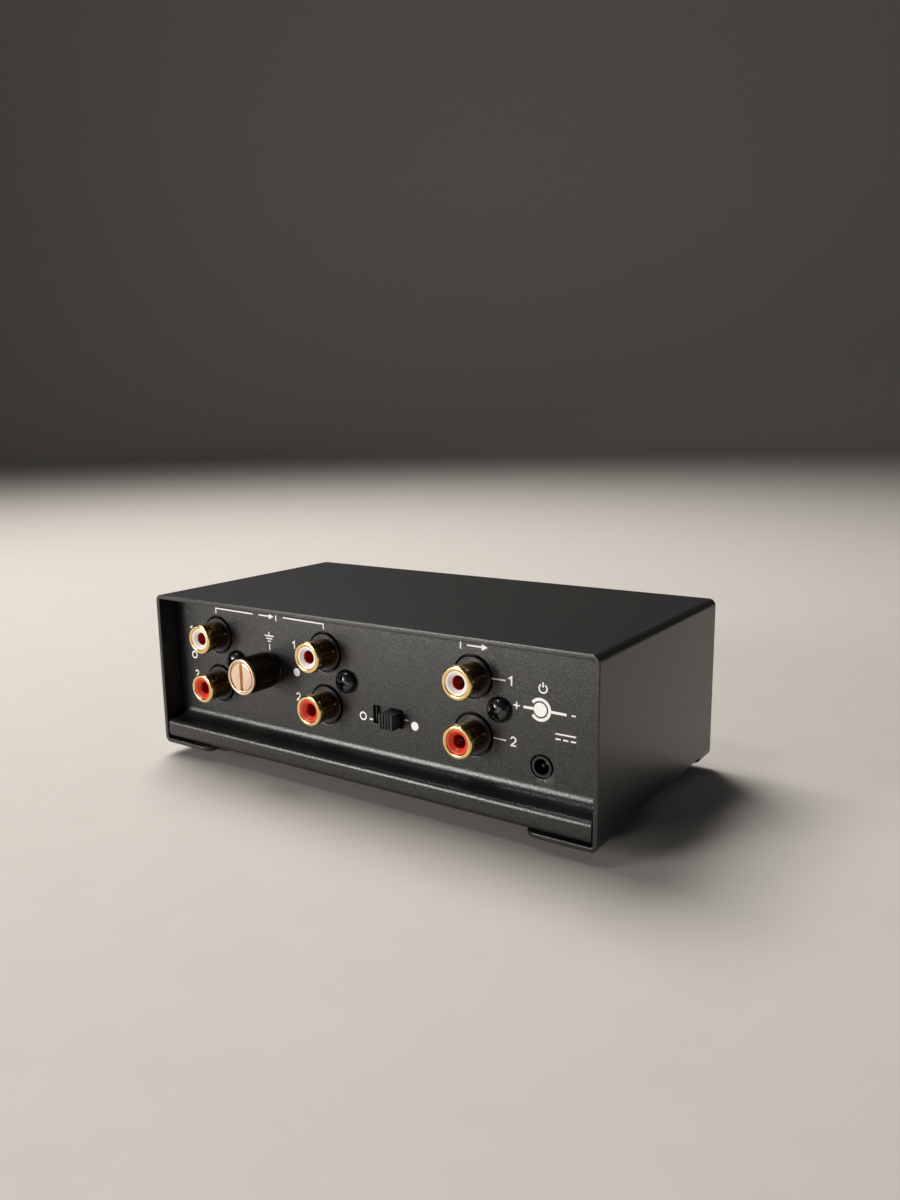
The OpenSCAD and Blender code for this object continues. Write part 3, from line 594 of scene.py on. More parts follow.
def start_material(name, roughness, metallic=0.0, specular=None, coat=0.0, sheen=0.0):
    """Material with a Principled surface and Object coordinates."""
    material = bpy.data.materials.new(name)
    material.use_nodes = True
    tree = material.node_tree
    surface = tree.nodes["Principled BSDF"]
    fill(surface, {
        "Metallic": metallic, "Roughness": roughness, "Sheen Weight": sheen,
        "Coat Weight": coat, "Coat Roughness": 0.1})
    if specular is not None:
        surface.inputs["Specular IOR Level"].default_value = specular
    coords = tree.nodes.new("ShaderNodeTexCoord").outputs["Object"]
    return material, tree, surface, coords


def bump(tree, surface, height, distance):
    """Relief from a height, its full range standing for the distance in metres."""
    made = node(tree, "ShaderNodeBump", {"Strength": 1.0, "Distance": distance})
    tree.links.new(height, made.inputs["Height"])
    tree.links.new(made.outputs[0], surface.inputs["Normal"])


def grained(name, colour, roughness, scale, depth, fleck=0.25, drift=0.12, **more):
    """Grained finish: the colour drifts slowly, grains catch the light and lift the roughness."""
    material, tree, surface, coords = start_material(name, roughness=roughness, **more)
    grain = group_node(tree, "fine_grain", coords, Scale=scale)
    toned = drifting(tree, grain.outputs["Drift"], colour, drift, 0.35, 0.65)
    light = tuple(np.minimum(np.array(colour) * 1.5 + 0.008, 1))
    part = maths(tree, "MULTIPLY", grain.outputs["Fleck"], fleck)
    tree.links.new(mix(tree, part, toned, light), surface.inputs["Base Color"])
    gloss = ramp(tree, grain.outputs["Height"], 0.3, 0.7, roughness - 0.08, roughness + 0.08)
    tree.links.new(gloss, surface.inputs["Roughness"])
    bump(tree, surface, grain.outputs["Height"], depth)
    return material


def plated(name, colour, stain, roughness, stretch=(900.0, 60.0, 900.0), stained=0.6):
    """Plated metal: fine drawn lines, smudges that dull it and stain it a little."""
    material, tree, surface, coords = start_material(name, metallic=1.0, roughness=roughness)
    lines = group_node(tree, "fine_lines", coords, Stretch=stretch)
    dirty = ramp(tree, lines.outputs["Smudge"], 0.42, 0.7, 0.0, stained)
    tree.links.new(mix(tree, dirty, tuple(colour), tuple(stain)), surface.inputs["Base Color"])
    worn = maths(tree, "MULTIPLY", lines.outputs["Lines"], 0.12)
    dull = maths(tree, "ADD", worn, maths(tree, "MULTIPLY", dirty, 0.15))
    tree.links.new(maths(tree, "ADD", dull, roughness - 0.06), surface.inputs["Roughness"])
    bump(tree, surface, lines.outputs["Lines"], 0.000004)
    return material


def moulded(name, colour, roughness, scale=900.0, depth=0.000008, spread=0.08, subsurface=0.0, **more):
    """Moulded plastic: faint flow marks in colour and gloss."""
    material, tree, surface, coords = start_material(name, roughness=roughness, **more)
    flow = noise(tree, coords, scale, 3.0, 0.6)
    tree.links.new(drifting(tree, flow, colour, spread, 0.3, 0.7), surface.inputs["Base Color"])
    gloss = ramp(tree, flow, 0.3, 0.7, roughness - 0.05, roughness + 0.07)
    tree.links.new(gloss, surface.inputs["Roughness"])
    if subsurface:
        fill(surface, {
            "Subsurface Weight": subsurface, "Subsurface Scale": 0.0006,
            "Subsurface Radius": (0.6, 0.4, 0.3)})
    bump(tree, surface, flow, depth)
    return material


def turned_metal(name, colour, centre):
    """Faced end of a turned part: tool rings round its axis, lengths in metres."""
    pitch, roughness, depth = 0.00012, 0.28, 0.0000025
    material, tree, surface, coords = start_material(name, metallic=1.0, roughness=roughness)
    rings = group_node(tree, "turning_rings", coords, Centre=tuple(centre), Pitch=pitch)
    lines = group_node(tree, "fine_lines", coords, Stretch=(500.0, 500.0, 500.0))
    c = np.array(colour)
    stain = ramp(tree, lines.outputs["Smudge"], 0.4, 0.75)
    tree.links.new(mix(tree, stain, tuple(c), tuple(c * 0.82)), surface.inputs["Base Color"])
    rough = maths(tree, "ADD", maths(tree, "MULTIPLY", rings.outputs["Rings"], 0.08), roughness - 0.04)
    tree.links.new(rough, surface.inputs["Roughness"])
    bump(tree, surface, rings.outputs["Rings"], depth)
    return material


def banded(name, body_colour, bands, axis_scale):
    """Lacquered body with painted bands across it, from a wave along X."""
    material, tree, surface, coords = start_material(name, roughness=0.35, coat=0.3)
    wave = node(
        tree, "ShaderNodeTexWave", {"Scale": axis_scale, "Distortion": 0.0},
        wave_type="BANDS", bands_direction="X")
    tree.links.new(coords, wave.inputs["Vector"])
    edge = ramp(tree, wave.outputs["Fac"], 0.78, 0.82)
    speck = noise(tree, coords, 1500.0, 2.0, 0.5)
    base = mix(tree, ramp(tree, speck, 0.3, 0.7), tuple(np.array(body_colour) * 0.9), tuple(body_colour))
    tree.links.new(mix(tree, edge, base, bands), surface.inputs["Base Color"])
    bump(tree, surface, speck, 0.00001)
    return material


def board_material():
    """Green solder mask over faint tracks, with tinned spots."""
    material, tree, surface, coords = start_material("solder_mask", roughness=0.35, coat=0.4)
    tracks = node(tree, "ShaderNodeTexBrick", {
        "Scale": 190.0, "Mortar Size": 0.06, "Mortar": (0.030, 0.220, 0.080, 1),
        "Color1": (0.010, 0.105, 0.034, 1), "Color2": (0.012, 0.120, 0.040, 1)})
    tree.links.new(coords, tracks.inputs["Vector"])
    spots = node(tree, "ShaderNodeTexVoronoi", {"Scale": 260.0, "Randomness": 0.6})
    tree.links.new(coords, spots.inputs["Vector"])
    dot = ramp(tree, spots.outputs["Distance"], 0.13, 0.1)
    tree.links.new(mix(tree, dot, tracks.outputs["Color"], (0.5, 0.5, 0.48)), surface.inputs["Base Color"])
    bump(tree, surface, maths(tree, "ADD", tracks.outputs["Fac"], dot), 0.00003)
    return material


def lens_material():
    """Clear lamp lens with a faint haze."""
    material, tree, surface, coords = start_material("lamp_lens", roughness=0.08)
    haze = noise(tree, coords, 1200.0, 2.0, 0.5)
    clear = mix(tree, ramp(tree, haze, 0.35, 0.7), (0.72, 0.8, 0.95), (0.9, 0.94, 1.0))
    tree.links.new(clear, surface.inputs["Base Color"])
    tree.links.new(ramp(tree, haze, 0.3, 0.7, 0.05, 0.16), surface.inputs["Roughness"])
    fill(surface, {"Transmission Weight": 0.75, "IOR": 1.49})
    return material


def make_materials(f):
    """Every finish of the object, by its everyday name."""
    centre = (middle("ground_thumbscrew") + SHIFT) / 1000
    return {
        "coat": coated(f),
        "gilt": plated("polished_gilt", f.gilt, (0.70, 0.45, 0.17), roughness=0.16, stained=0.35),
        # Barrel gilt: painted shade, the rims' gilt darkened.
        "gilt_painted_shade": plated("barrel_gilt_painted_shade", f.gilt_painted_shade, (0.16, 0.085, 0.03), roughness=0.24),
        "white": moulded("white_insulator", f.white, roughness=0.32, subsurface=0.15),
        "red": moulded("red_insulator", f.red, roughness=0.3, coat=0.1),
        "guide": moulded("dark_red_guide", f.guide, roughness=0.22, coat=0.3),
        "thumb_end": turned_metal("faced_end", f.thumb_end, centre),
        "thumb_side": plated(
            "knurled_side", f.thumb_side, (0.03, 0.024, 0.02), roughness=0.34,
            stretch=(300.0, 3000.0, 300.0)),
        "black_metal": moulded(
            "black_gloss_metal", f.black_metal, roughness=0.24, coat=0.25, spread=0.3, specular=0.8),
        "black_plastic": grained(
            "black_plastic", f.black_plastic, roughness=0.42, scale=5000.0, depth=0.000006, fleck=0.1),
        "housing": grained(
            "housing_plastic", (0.007, 0.007, 0.0075), roughness=0.36, scale=3500.0,
            depth=0.00001, fleck=0.15),
        "rubber": grained(
            "foot_rubber", (0.016, 0.016, 0.016), roughness=0.72, scale=2500.0,
            depth=0.00002, fleck=0.2, sheen=0.15),
        # The inlet's spring and centre pin: nickel painted darker, as shade inside the socket.
        "dull": plated("nickel_painted_shade", (0.20, 0.195, 0.18), (0.09, 0.085, 0.08), roughness=0.42),
        "dim": plated("pin_painted_shade", (0.05, 0.048, 0.045), (0.02, 0.02, 0.018), roughness=0.45),
        "steel": plated("bright_plate", (0.62, 0.62, 0.60), (0.42, 0.41, 0.38), roughness=0.3),
        "brass": plated("nut_brass", (0.70, 0.58, 0.32), (0.45, 0.34, 0.16), roughness=0.3),
        "laminate": grained(
            "brown_laminate", (0.22, 0.11, 0.045), roughness=0.5, scale=2200.0, depth=0.00001),
        "contact": plated("contact_gilt", (0.78, 0.58, 0.28), (0.5, 0.34, 0.14), roughness=0.25),
        "board": board_material(),
        "lens": lens_material(),
        "chip": grained(
            "chip_epoxy", (0.018, 0.018, 0.02), roughness=0.55, scale=4500.0, depth=0.000012, fleck=0.3),
        "sleeve": banded("capacitor_sleeve", (0.02, 0.022, 0.06), (0.55, 0.56, 0.6), 40.0),
        "film": moulded(
            "dipped_film", (0.36, 0.025, 0.018), roughness=0.22, coat=0.5, scale=500.0, depth=0.00004),
        "resistor": banded("resistor_lacquer", (0.46, 0.33, 0.18), (0.35, 0.06, 0.03), 190.0),
        "ink": grained(
            "panel_ink", f.ink, roughness=0.5, scale=6000.0, depth=0.000006, fleck=0.2, drift=0.05),
    }


def coated(f):
    """Fine textured powder coat: the tops of its grains are paler and glossier."""
    material, tree, surface, coords = start_material("powder_coat", roughness=0.32)
    grain = group_node(tree, "fine_grain", coords, Scale=4200.0)
    toned = drifting(tree, grain.outputs["Drift"], f.coat, 0.12, 0.35, 0.65)
    tree.links.new(mix(tree, grain.outputs["Fleck"], toned, tuple(f.coat_bare)), surface.inputs["Base Color"])
    height = grain.outputs["Height"]
    tree.links.new(ramp(tree, height, 0.4, 0.6, 0.34, 0.24), surface.inputs["Roughness"])
    tree.links.new(ramp(tree, height, 0.4, 0.6, 0.38, 0.9), surface.inputs["Specular IOR Level"])
    bump(tree, surface, height, 0.00005)
    return material


MATERIALS = {}


def finish(name):
    """A finish by its name; all of them are made at the first call."""
    if not MATERIALS:
        MATERIALS.update(make_materials(bpy.context.scene.preamp_finishes))
    return MATERIALS[name]


# ---------------------------------------------------------------- pieces


def circle(x, y, r, n):
    """Circle of radius r about (x, y), of n points."""
    a = np.linspace(0, 2 * math.pi, n, endpoint=False)
    return np.stack([x + r * np.cos(a), y + r * np.sin(a)], -1)


def on_circle(centre, radius, angle):
    """Point of a circle at an angle in degrees."""
    turn = math.radians(angle)
    return centre[0] + radius * math.cos(turn), centre[1] + radius * math.sin(turn)


def mirrored(point):
    """The same point of a section, on the far side."""
    return -point[0], point[1]


def tab_screw_place(s):
    """Middle of the screw in the tab to the right and far side; the other three mirror it."""
    return s.width / 2 - s.tab_length + s.tab_width / 2, s.depth / 2 - s.tab_width / 2


class PREAMP_OT_cover(Operator):
    """Folds the cover: top, two side walls and four tabs turned in underneath"""

    bl_idname = "preamp.cover"
    bl_label = "Cover"

    def execute(self, context):
        s = context.scene.preamp_case
        t, w, h, r = s.sheet, s.width / 2, s.height, s.bend
        m = r - t / 2
        fold = Fold()
        fold.line((-w + s.tab_length, t / 2), (-w + r, t / 2))
        fold.arc((-w + r, r), m, 270, 180)
        fold.line((-w + t / 2, r), (-w + t / 2, h - r))
        fold.arc((-w + r, h - r), m, 180, 90)
        fold.line((-w + r, h - t / 2), (w - r, h - t / 2))
        fold.arc((w - r, h - r), m, 90, 0)
        fold.line((w - t / 2, h - r), (w - t / 2, r))
        fold.arc((w - r, r), m, 0, -90)
        fold.line((w - r, t / 2), (w - s.tab_length, t / 2))
        total, half = fold.length, s.depth / 2
        tab = s.tab_length - r + m * math.pi / 2
        inner = half - s.tab_width
        c, k = s.tab_corner, 0.4
        corners = [
            (0, -half), (total, -half), (total, -inner), (total - tab, -inner), (total - tab, inner),
            (total, inner), (total, half), (0, half), (0, inner), (tab, inner), (tab, -inner), (0, -inner),
        ]
        outline = rounded(corners, [c, c, c, k, k, c, c, c, c, k, k, c], steps=8)
        screw = s.tab_width / 2
        ends, sides = (screw, total - screw), (-half + screw, half - screw)
        holes = [circle(u, v, TAB_HOLE, 40) for u in ends for v in sides]

        def to_case(section, along):
            """The section is bent in X and Z, and the sheet runs along Y."""
            return np.stack([section[:, 0], along, section[:, 1]], -1)

        folded("cover", outline, holes, t, s.edge, fold, to_case, finish("coat"), "top_cover")
        return {"FINISHED"}


class PREAMP_OT_chassis(Operator):
    """Folds the chassis: recessed connector panel, lip, floor, far lip and far wall, with every hole"""

    bl_idname = "preamp.chassis"
    bl_label = "Chassis"

    def execute(self, context):
        s, j = context.scene.preamp_case, context.scene.preamp_connectors
        t, slope = s.sheet, s.shelf_slope
        edge_y = -s.depth / 2
        floor = t + s.tab_gap
        lip = edge_y + s.lip_setback
        panel = edge_y + s.recess
        top = s.height - t - s.side_gap
        normal = (-math.sin(math.radians(slope)), math.cos(math.radians(slope)))
        nose = (lip + s.nose, s.nose_height)
        heel = (lip + s.heel, floor + s.heel)
        cove_y = panel - s.cove
        cove = (cove_y, s.nose_height + (s.cove + s.nose - (cove_y - nose[0]) * normal[0]) / normal[1])
        # Radii of the sheet's middle round the nose and the cove
        m, n = s.nose - t / 2, s.cove + t / 2
        fold = Fold()
        fold.line((panel + t / 2, top), (panel + t / 2, cove[1]))
        panel_run = fold.length
        fold.arc(cove, n, 0, -90 + slope, 12)
        fold.line(on_circle(cove, n, 270 + slope), on_circle(nose, m, 90 + slope))
        fold.arc(nose, m, 90 + slope, 180, 10)
        fold.line((lip + t / 2, nose[1]), (lip + t / 2, heel[1]))
        fold.arc(heel, s.heel - t / 2, 180, 270, 8)
        floor_run = fold.length
        fold.line((heel[0], floor + t / 2), (-heel[0], floor + t / 2))
        fold.arc(mirrored(heel), s.heel - t / 2, -90, 0, 8)
        fold.line((-lip - t / 2, heel[1]), (-lip - t / 2, nose[1]))
        fold.arc(mirrored(nose), m, 0, 90 - slope, 10)
        fold.line(mirrored(on_circle(nose, m, 90 + slope)), mirrored(on_circle(cove, n, 270 + slope)))
        fold.arc(mirrored(cove), n, 270 - slope, 180, 12)
        far_run = fold.length
        fold.line((-panel - t / 2, cove[1]), (-panel - t / 2, top))
        total = fold.length
        w = s.width / 2 - t - s.side_gap
        outline = rounded([(0, -w), (total, -w), (total, w), (0, w)], 0.3, 3)

        def up(z):
            """Length along the fold at a height on the connector panel."""
            return panel_run - (z - cove[1])

        holes = []
        for side, row in JACKS:
            p = middle(f"shell_{side}_{row}")
            holes.append(circle(up(p[2]), p[0], j.jack_hole / 2, 96))
        for p in screw_places():
            holes.append(circle(up(p[2]), p[0], j.screw_hole / 2, 40))
        p = middle("ground_washer")
        holes.append(circle(up(p[2]), p[0], j.shank / 2 + 0.3, 48))
        p = inlet_place()
        holes.append(circle(up(p[2]), p[0], j.inlet_hole / 2, 72))
        x, z = window_place()
        half_w, half_h = j.window_w / 2, j.window_h / 2
        low, high = up(z) - half_h, up(z) + half_h
        window = [(low, x - half_w), (high, x - half_w), (high, x + half_w), (low, x + half_w)]
        holes.append(rounded(window, 0.3, 4))
        lamp = middle("power_lamp")
        holes.append(circle(far_run + lamp[2] - cove[1], lamp[0], j.lamp_hole / 2, 48))
        screw_x, screw_y = tab_screw_place(s)
        for across in (-screw_x, screw_x):
            for along in (-screw_y, screw_y):
                holes.append(circle(floor_run + along - heel[0], across, TAB_HOLE, 40))

        def to_case(section, across):
            """The section is bent in Y and Z, and the sheet runs along X."""
            return np.stack([across, section[:, 0], section[:, 1]], -1)

        folded("chassis_sheet", outline, holes, t, 0.2, fold, to_case, finish("coat"), "chassis")
        return {"FINISHED"}


def screw_places():
    """Middles of the three jack screws: each stands as far beside its jacks as the first one does."""
    low, high = (np.array(c) * 1000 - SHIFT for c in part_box("panel_screws"))
    xs = [middle(f"shell_{side}_upper")[0] for side in SIDES]
    radius = (high[2] - low[2]) / 2
    return [np.array([x + low[0] + radius - xs[0], 0, low[2] + radius]) for x in xs]


def inlet_place():
    """Middle of the inlet: the centre pin's middle across, the socket's axis up."""
    axis_up = 5.2
    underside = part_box("inlet_socket")[0][2] * 1000 - SHIFT[2]
    return middle("inlet_centre_pin") * [1, 1, 0] + [0, 0, underside + axis_up]


def window_place():
    """Middle of the switch window: the switch can's middle across, the knob's middle up."""
    knob_up = 4.0
    return middle("switch_can")[0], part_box("switch_slider")[0][2] * 1000 - SHIFT[2] + knob_up


def panel_face(context):
    """Where the connector panel's outer face lies along Y."""
    s = context.scene.preamp_case
    return -s.depth / 2 + s.recess


def fine_angles(turns, marks, radius):
    """Even angles round a turned part, with more of them at each mark (angle, half width)."""
    a = np.linspace(0, 2 * math.pi, turns, endpoint=False)
    extra = []
    for at, half in marks:
        a = a[np.abs(turn_from(a, at)) > (half + 0.12) / radius]
        extra.append(at + np.linspace(-half, half, 11) / radius)
    return np.sort(np.concatenate([a] + extra))


class PREAMP_OT_jacks(Operator):
    """Turns the gilt shells, the insulators and the pin guides of the six phono jacks"""

    bl_idname = "preamp.jacks"
    bl_label = "Phono jacks"

    def execute(self, context):
        j = context.scene.preamp_connectors
        y = panel_face(context)
        ro, ri, out = j.shell / 2, j.shell / 2 - j.shell_wall, j.shell_out
        lip, mouth, back, boss = j.shell_lip / 2, j.mouth / 2, out - j.lip_length, j.boss_front
        # Inner end of the turned parts and middle of the punch mark, from the panel
        tail, mark = -10.5, 4.3
        rings = [boss + 0.1, boss + 0.14, 1.6, 2.8, 3.6]
        rings += [*np.linspace(mark - 0.5, mark + 0.5, 9), 5.3, back - 0.1, back - 0.06]
        corners = [(ri, tail), (ro - 0.05, tail), (ro - 0.05, boss - 0.05), (ro, boss)]
        corners += [(ro, h) for h in rings]
        corners += [
            (ro, back), (lip, back + 0.2), (lip, out), (mouth, out), (mouth, out - 0.6), (ri, out - 0.7)]
        radii = [0, 0, 0, 0] + [0] * len(rings) + [0.04, 0.14, 0.62, 0.48, 0.05, 0]
        profile = rounded(corners, radii, 8)
        seam, seam_half, seam_depth = math.radians(14), 0.15, 0.2
        spot, spot_radius, spot_depth = math.radians(46), 0.47, 0.26
        angles = fine_angles(112, [(seam, 0.17), (spot, 0.5)], ro)

        def worked(r, h, a):
            """Butted seam along the barrel, and a round punch mark in it."""
            off = np.abs(turn_from(a, seam)) * ro
            on_barrel = (h > boss + 0.11) & (h < back - 0.07)
            cut = seam_depth * np.clip((seam_half - off) / 0.06, 0, 1) * on_barrel
            away = np.hypot(turn_from(a, spot) * ro, h - mark)
            dent = spot_depth * np.clip((spot_radius - away) / 0.16, 0, 1)
            return np.where(r > ri + 0.3, r - np.maximum(cut, dent), r), h

        points, faces = lathe(profile, change=worked, angles=angles)
        # Faces of the rim and along the seam take the bright gilt, and the rest of the barrel takes the
        # darker gilt. The barrel's darkness is painted shade. The bright line along the seam is partly bare
        # metal and partly a painted highlight.
        height = section_middles(profile, len(angles), faces)[:, 1]
        mids = points[faces].mean(1)
        from_seam = np.abs(np.arctan2(mids[:, 1], mids[:, 0]) - seam) * ro
        tone = np.where((height > back + 0.03) | (from_seam < 0.12), 0, 1)
        hole = j.contact_hole / 2
        front, face = out - 1.3, out - 0.25
        wall, guide_wall, guide_bore, guide_step = 2.45, 2.4, 2.02, 1.05
        dish = rounded(
            [(wall, tail), (ri - 0.05, tail), (ri - 0.05, out - 0.75), (mouth - 0.05, out - 0.75),
             (mouth - 0.05, face), (mouth - 0.45, face), (hole + 0.12, front + 0.2),
             (hole + 0.12, front + 0.05), (wall, front + 0.05)],
            [0, 0, 0, 0, 0.14, 0.35, 0.12, 0, 0], 6)
        guide = rounded(
            [(guide_bore, tail), (guide_wall, tail), (guide_wall, front), (hole + 0.35, front),
             (hole + 0.1, front - 0.3), (hole + 0.1, guide_step), (guide_bore, guide_step)],
            [0, 0, 0.05, 0.1, 0.1, 0, 0], 4)
        dish_points, dish_faces = lathe(dish, 96)
        guide_points, guide_faces = lathe(guide, 64)
        guides = []
        for side, row in JACKS:
            x, _, z = middle(f"shell_{side}_{row}")
            make_piece(
                f"gilt_shell_{side}_{row}", on_panel(points, x, z, y), faces, "case",
                [finish("gilt"), finish("gilt_painted_shade")], [f"shell_{side}_{row}"], tone)
            white = row == "upper"
            make_piece(
                f"jack_insulator_{side}_{row}", on_panel(dish_points, x, z, y), dish_faces, "case",
                [finish("white" if white else "red")],
                [f"insulator_{side}_{row}"])
            guides.append((on_panel(guide_points, x, z, y), guide_faces, np.zeros(len(guide_faces))))
        points, faces, _ = join_parts(guides)
        make_piece(
            "jack_pin_guides", points, faces, "case", [finish("guide")], ["pin_guides"])
        return {"FINISHED"}


def cross_head(diameter, height, turns):
    """Domed head with a cross recess, on a polar grid: the dome's height falls with the square root of
    1 - (r/R)^2, and the recess takes away a depth that ramps up over its side walls and its arm ends.
    The arms narrow outwards."""
    top = diameter / 2
    # Recess as shares of the head: reach of an arm, depth; and the grid's rings
    arm, deep, rings = 0.32, 0.62, 72
    ring_radii = top * np.sin(np.linspace(0, 1, rings) * math.pi / 2)
    round_way = np.linspace(0, 2 * math.pi, turns, endpoint=False)
    r, a = np.meshgrid(ring_radii, round_way, indexing="ij")
    x, y = r * np.cos(a), r * np.sin(a)
    rim = HEAD_RIM * height
    dome = rim + (height - rim) * np.sqrt(np.clip(1 - (r / top) ** 2, 0, 1))
    reach = arm * diameter

    def arm_depth(u, v):
        """Share of the depth in the arm that runs along u."""
        half = (0.135 - 0.085 * np.clip(np.abs(u) / reach, 0, 1)) * diameter
        wall = np.clip((half - np.abs(v)) / 0.16, 0, 1)
        ends = np.clip((reach - np.abs(u)) / (0.5 * reach), 0, 1)
        return wall * ends ** 0.6

    cut = np.maximum(arm_depth(x, y), arm_depth(y, x))
    flat = dome - deep * height * cut
    return np.stack([x, y, flat], -1).reshape(-1, 3), grid_faces(rings, turns)


def screw_solid(diameter, height, shank, length, turns=216):
    """Cross-head screw: recessed dome, rim, seat, shank and rounded tip as one closed surface."""
    dome, dome_faces = cross_head(diameter, height, turns)
    top, core, tip = diameter / 2, shank / 2, 0.3
    skirt = [
        (top, HEAD_RIM * height), (top, 0.0), (core, 0.0), (core, -length + tip), (core - tip, -length),
        (0.0, -length)]
    points, faces = lathe(skirt, turns, closed=False)
    return join_parts([(dome, dome_faces, np.zeros(len(dome_faces))), (points, faces, np.zeros(len(faces)))])


def screw_piece(name, parts, node):
    """Black screws of one kind as one piece."""
    points, faces, _ = join_parts(parts)
    piece = make_piece(name, points, faces, "case", [finish("black_metal")], [node])
    crisp(piece, 32)


class PREAMP_OT_screws(Operator):
    """Cross-head screws of the jacks and of the cover"""

    bl_idname = "preamp.screws"
    bl_label = "Screws"

    def execute(self, context):
        s, j = context.scene.preamp_case, context.scene.preamp_connectors
        y = panel_face(context)
        # Thread of both kinds, and the cover screws' head
        shank, jack_length, tab_head, tab_height = 3.0, 6.0, 5.4, 1.3
        head, faces, numbers = screw_solid(j.screw_head, j.screw_height, shank, jack_length)
        parts = []
        for p, turn in zip(screw_places(), (38, 4, 27)):
            parts.append((on_panel(head, p[0], p[2], y, math.radians(turn)), faces, numbers))
        screw_piece("jack_screws", parts, "panel_screws")
        length = span("cover_screws", 2) - tab_height
        head, faces, numbers = screw_solid(tab_head, tab_height, shank, length, turns=144)
        x, reach = tab_screw_place(s)
        parts = []
        for sx, sy, turn in ((-1, -1, 12), (1, -1, 57), (-1, 1, 33), (1, 1, 80)):
            parts.append((turned_down(head, sx * x, sy * reach, math.radians(turn)), faces, numbers))
        screw_piece("tab_screws", parts, "cover_screws")
        return {"FINISHED"}


class PREAMP_OT_thumbscrew(Operator):
    """Turns the ground thumbscrew: knurled side, rimmed end, slotted disc and shank; and its washer"""

    bl_idname = "preamp.thumbscrew"
    bl_label = "Ground thumbscrew"

    def execute(self, context):
        j = context.scene.preamp_connectors
        y = panel_face(context)
        p = middle("ground_thumbscrew")
        # Head's back over the washer, depth of its end, and the slot's half width and depth
        back, well, slot_half, slot_depth = 1.0, 1.0, 0.54, 0.78
        r, out, shank = j.thumb / 2, j.thumb_out, j.shank / 2
        tail = out - span("ground_thumbscrew", 1)
        side = np.linspace(back + 0.75, out - 0.75, 8)
        outline = rounded(
            [(shank, back), (r - 0.5, back), (r - 0.5, back + 0.45), (r, back + 0.7)],
            [0.1, 0.15, 0.1, 0.05], 3)[1:]
        front = rounded([
            (r, out - 0.7), (r - 0.02, out - 0.5), (r - 0.02, out), (r - 0.68, out), (r - 0.72, out - 0.45),
            (r - 1.1, out - 0.45), (r - 1.1, out - well)], [0.02, 0.05, 0.28, 0.12, 0.05, 0.05, 0], 5)
        profile = np.concatenate([
            [(0, tail), (shank - 0.4, tail), (shank, tail + 0.4), (shank, back)],
            outline, np.stack([np.full(8, r), side], -1), front, [(0, out - well)]])
        n = j.ridges

        def knurl(rr, h, a):
            """Ridges along the side that run out at both ends."""
            wave = np.abs((a * n / (2 * math.pi)) % 1 * 2 - 1)
            depth = 0.2 * np.clip((h - back - 0.62) / 0.25, 0, 1) * np.clip((out - 0.55 - h) / 0.25, 0, 1)
            return np.where(rr > r - 0.3, rr - depth * wave, rr), h

        points, faces = lathe(profile, n * 6, closed=False, change=knurl)
        mids = section_middles(profile, n * 6, faces)
        end = (mids[:, 1] > out - 0.62) & (mids[:, 0] > r - 1.3)
        parts = [(points, faces, np.where(end, 0, 1))]
        # Slotted disc on a grid of chords: x runs across with extra lines at the slot, y follows the rim.
        rd = r - 1.12
        chords = rd * np.cos(np.linspace(0, 1.35, 26))
        slot_lines = np.array([0.48, 0.5, slot_half, 0.62])
        xs = np.unique(np.round(np.concatenate([-chords, -slot_lines, slot_lines, chords]), 4))
        rows, cols = len(xs), 41
        x, v = np.meshgrid(xs, np.linspace(-1, 1, cols), indexing="ij")
        yy = v * np.sqrt(np.clip(rd * rd - x * x, 0, None))
        edge = np.clip((rd - np.hypot(x, yy)) / 0.12, 0, 1)
        slot = np.clip((slot_half - np.abs(x)) / 0.05, 0, 1)
        z = out - 0.12 - 0.08 * (1 - edge) ** 2 - slot_depth * slot
        top = np.stack([x, yy, z], -1).reshape(-1, 3)
        low = np.stack([x, yy, np.full_like(x, out - 0.999)], -1).reshape(-1, 3)
        quads = grid_faces(rows, cols, close_cols=False)
        count = rows * cols
        ring = np.concatenate([
            np.arange(cols), np.arange(1, rows) * cols + cols - 1,
            (rows - 1) * cols + np.arange(cols - 2, -1, -1), np.arange(rows - 2, 0, -1) * cols])
        wall = np.stack([ring, np.roll(ring, -1), np.roll(ring, -1) + count, ring + count], -1)
        disc_faces = np.concatenate([quads, quads[:, ::-1] + count, wall])
        parts.append((np.concatenate([top, low]), disc_faces, np.zeros(len(disc_faces))))
        points, faces, numbers = join_parts(parts)
        piece = make_piece(
            "ground_thumb_screw", on_panel(points, p[0], p[2], y), faces, "thumbscrew",
            [finish("thumb_end"), finish("thumb_side")], ["ground_thumbscrew"], numbers)
        crisp(piece, 38)
        bore, rim = shank + 0.15, r - 0.2
        washer = rounded([(bore, 0.05), (rim, 0.05), (rim, 0.95), (bore, 0.95)], [0.05, 0.15, 0.15, 0.05], 4)
        points, faces = lathe(washer, 96)
        make_piece(
            "ground_terminal_washer", on_panel(points, p[0], p[2], y), faces, "washer",
            [finish("black_metal")], ["ground_washer"])
        return {"FINISHED"}


def crisp(piece, angle):
    """Edges sharper than the angle stay crisp."""
    piece.data.set_sharp_from_angle(angle=math.radians(angle))


class PREAMP_OT_switch(Operator):
    """Slide switch: ribbed knob, and the can that holds it"""

    bl_idname = "preamp.switch"
    bl_label = "Slide switch"

    def execute(self, context):
        soften("switch_slider", 0.12, finish("black_plastic"), "slider", 3)
        soften("switch_can", 0.1, finish("steel"))
        return {"FINISHED"}


class PREAMP_OT_inlet(Operator):
    """Power inlet and the housings of the jacks"""

    bl_idname = "preamp.inlet"
    bl_label = "Power inlet"

    def execute(self, context):
        soften("inlet_socket", 0.12, finish("black_plastic"), steps=3)
        for side in SIDES:
            soften(f"jack_body_{side}", 0.12, finish("housing"), steps=3)
        return {"FINISHED"}


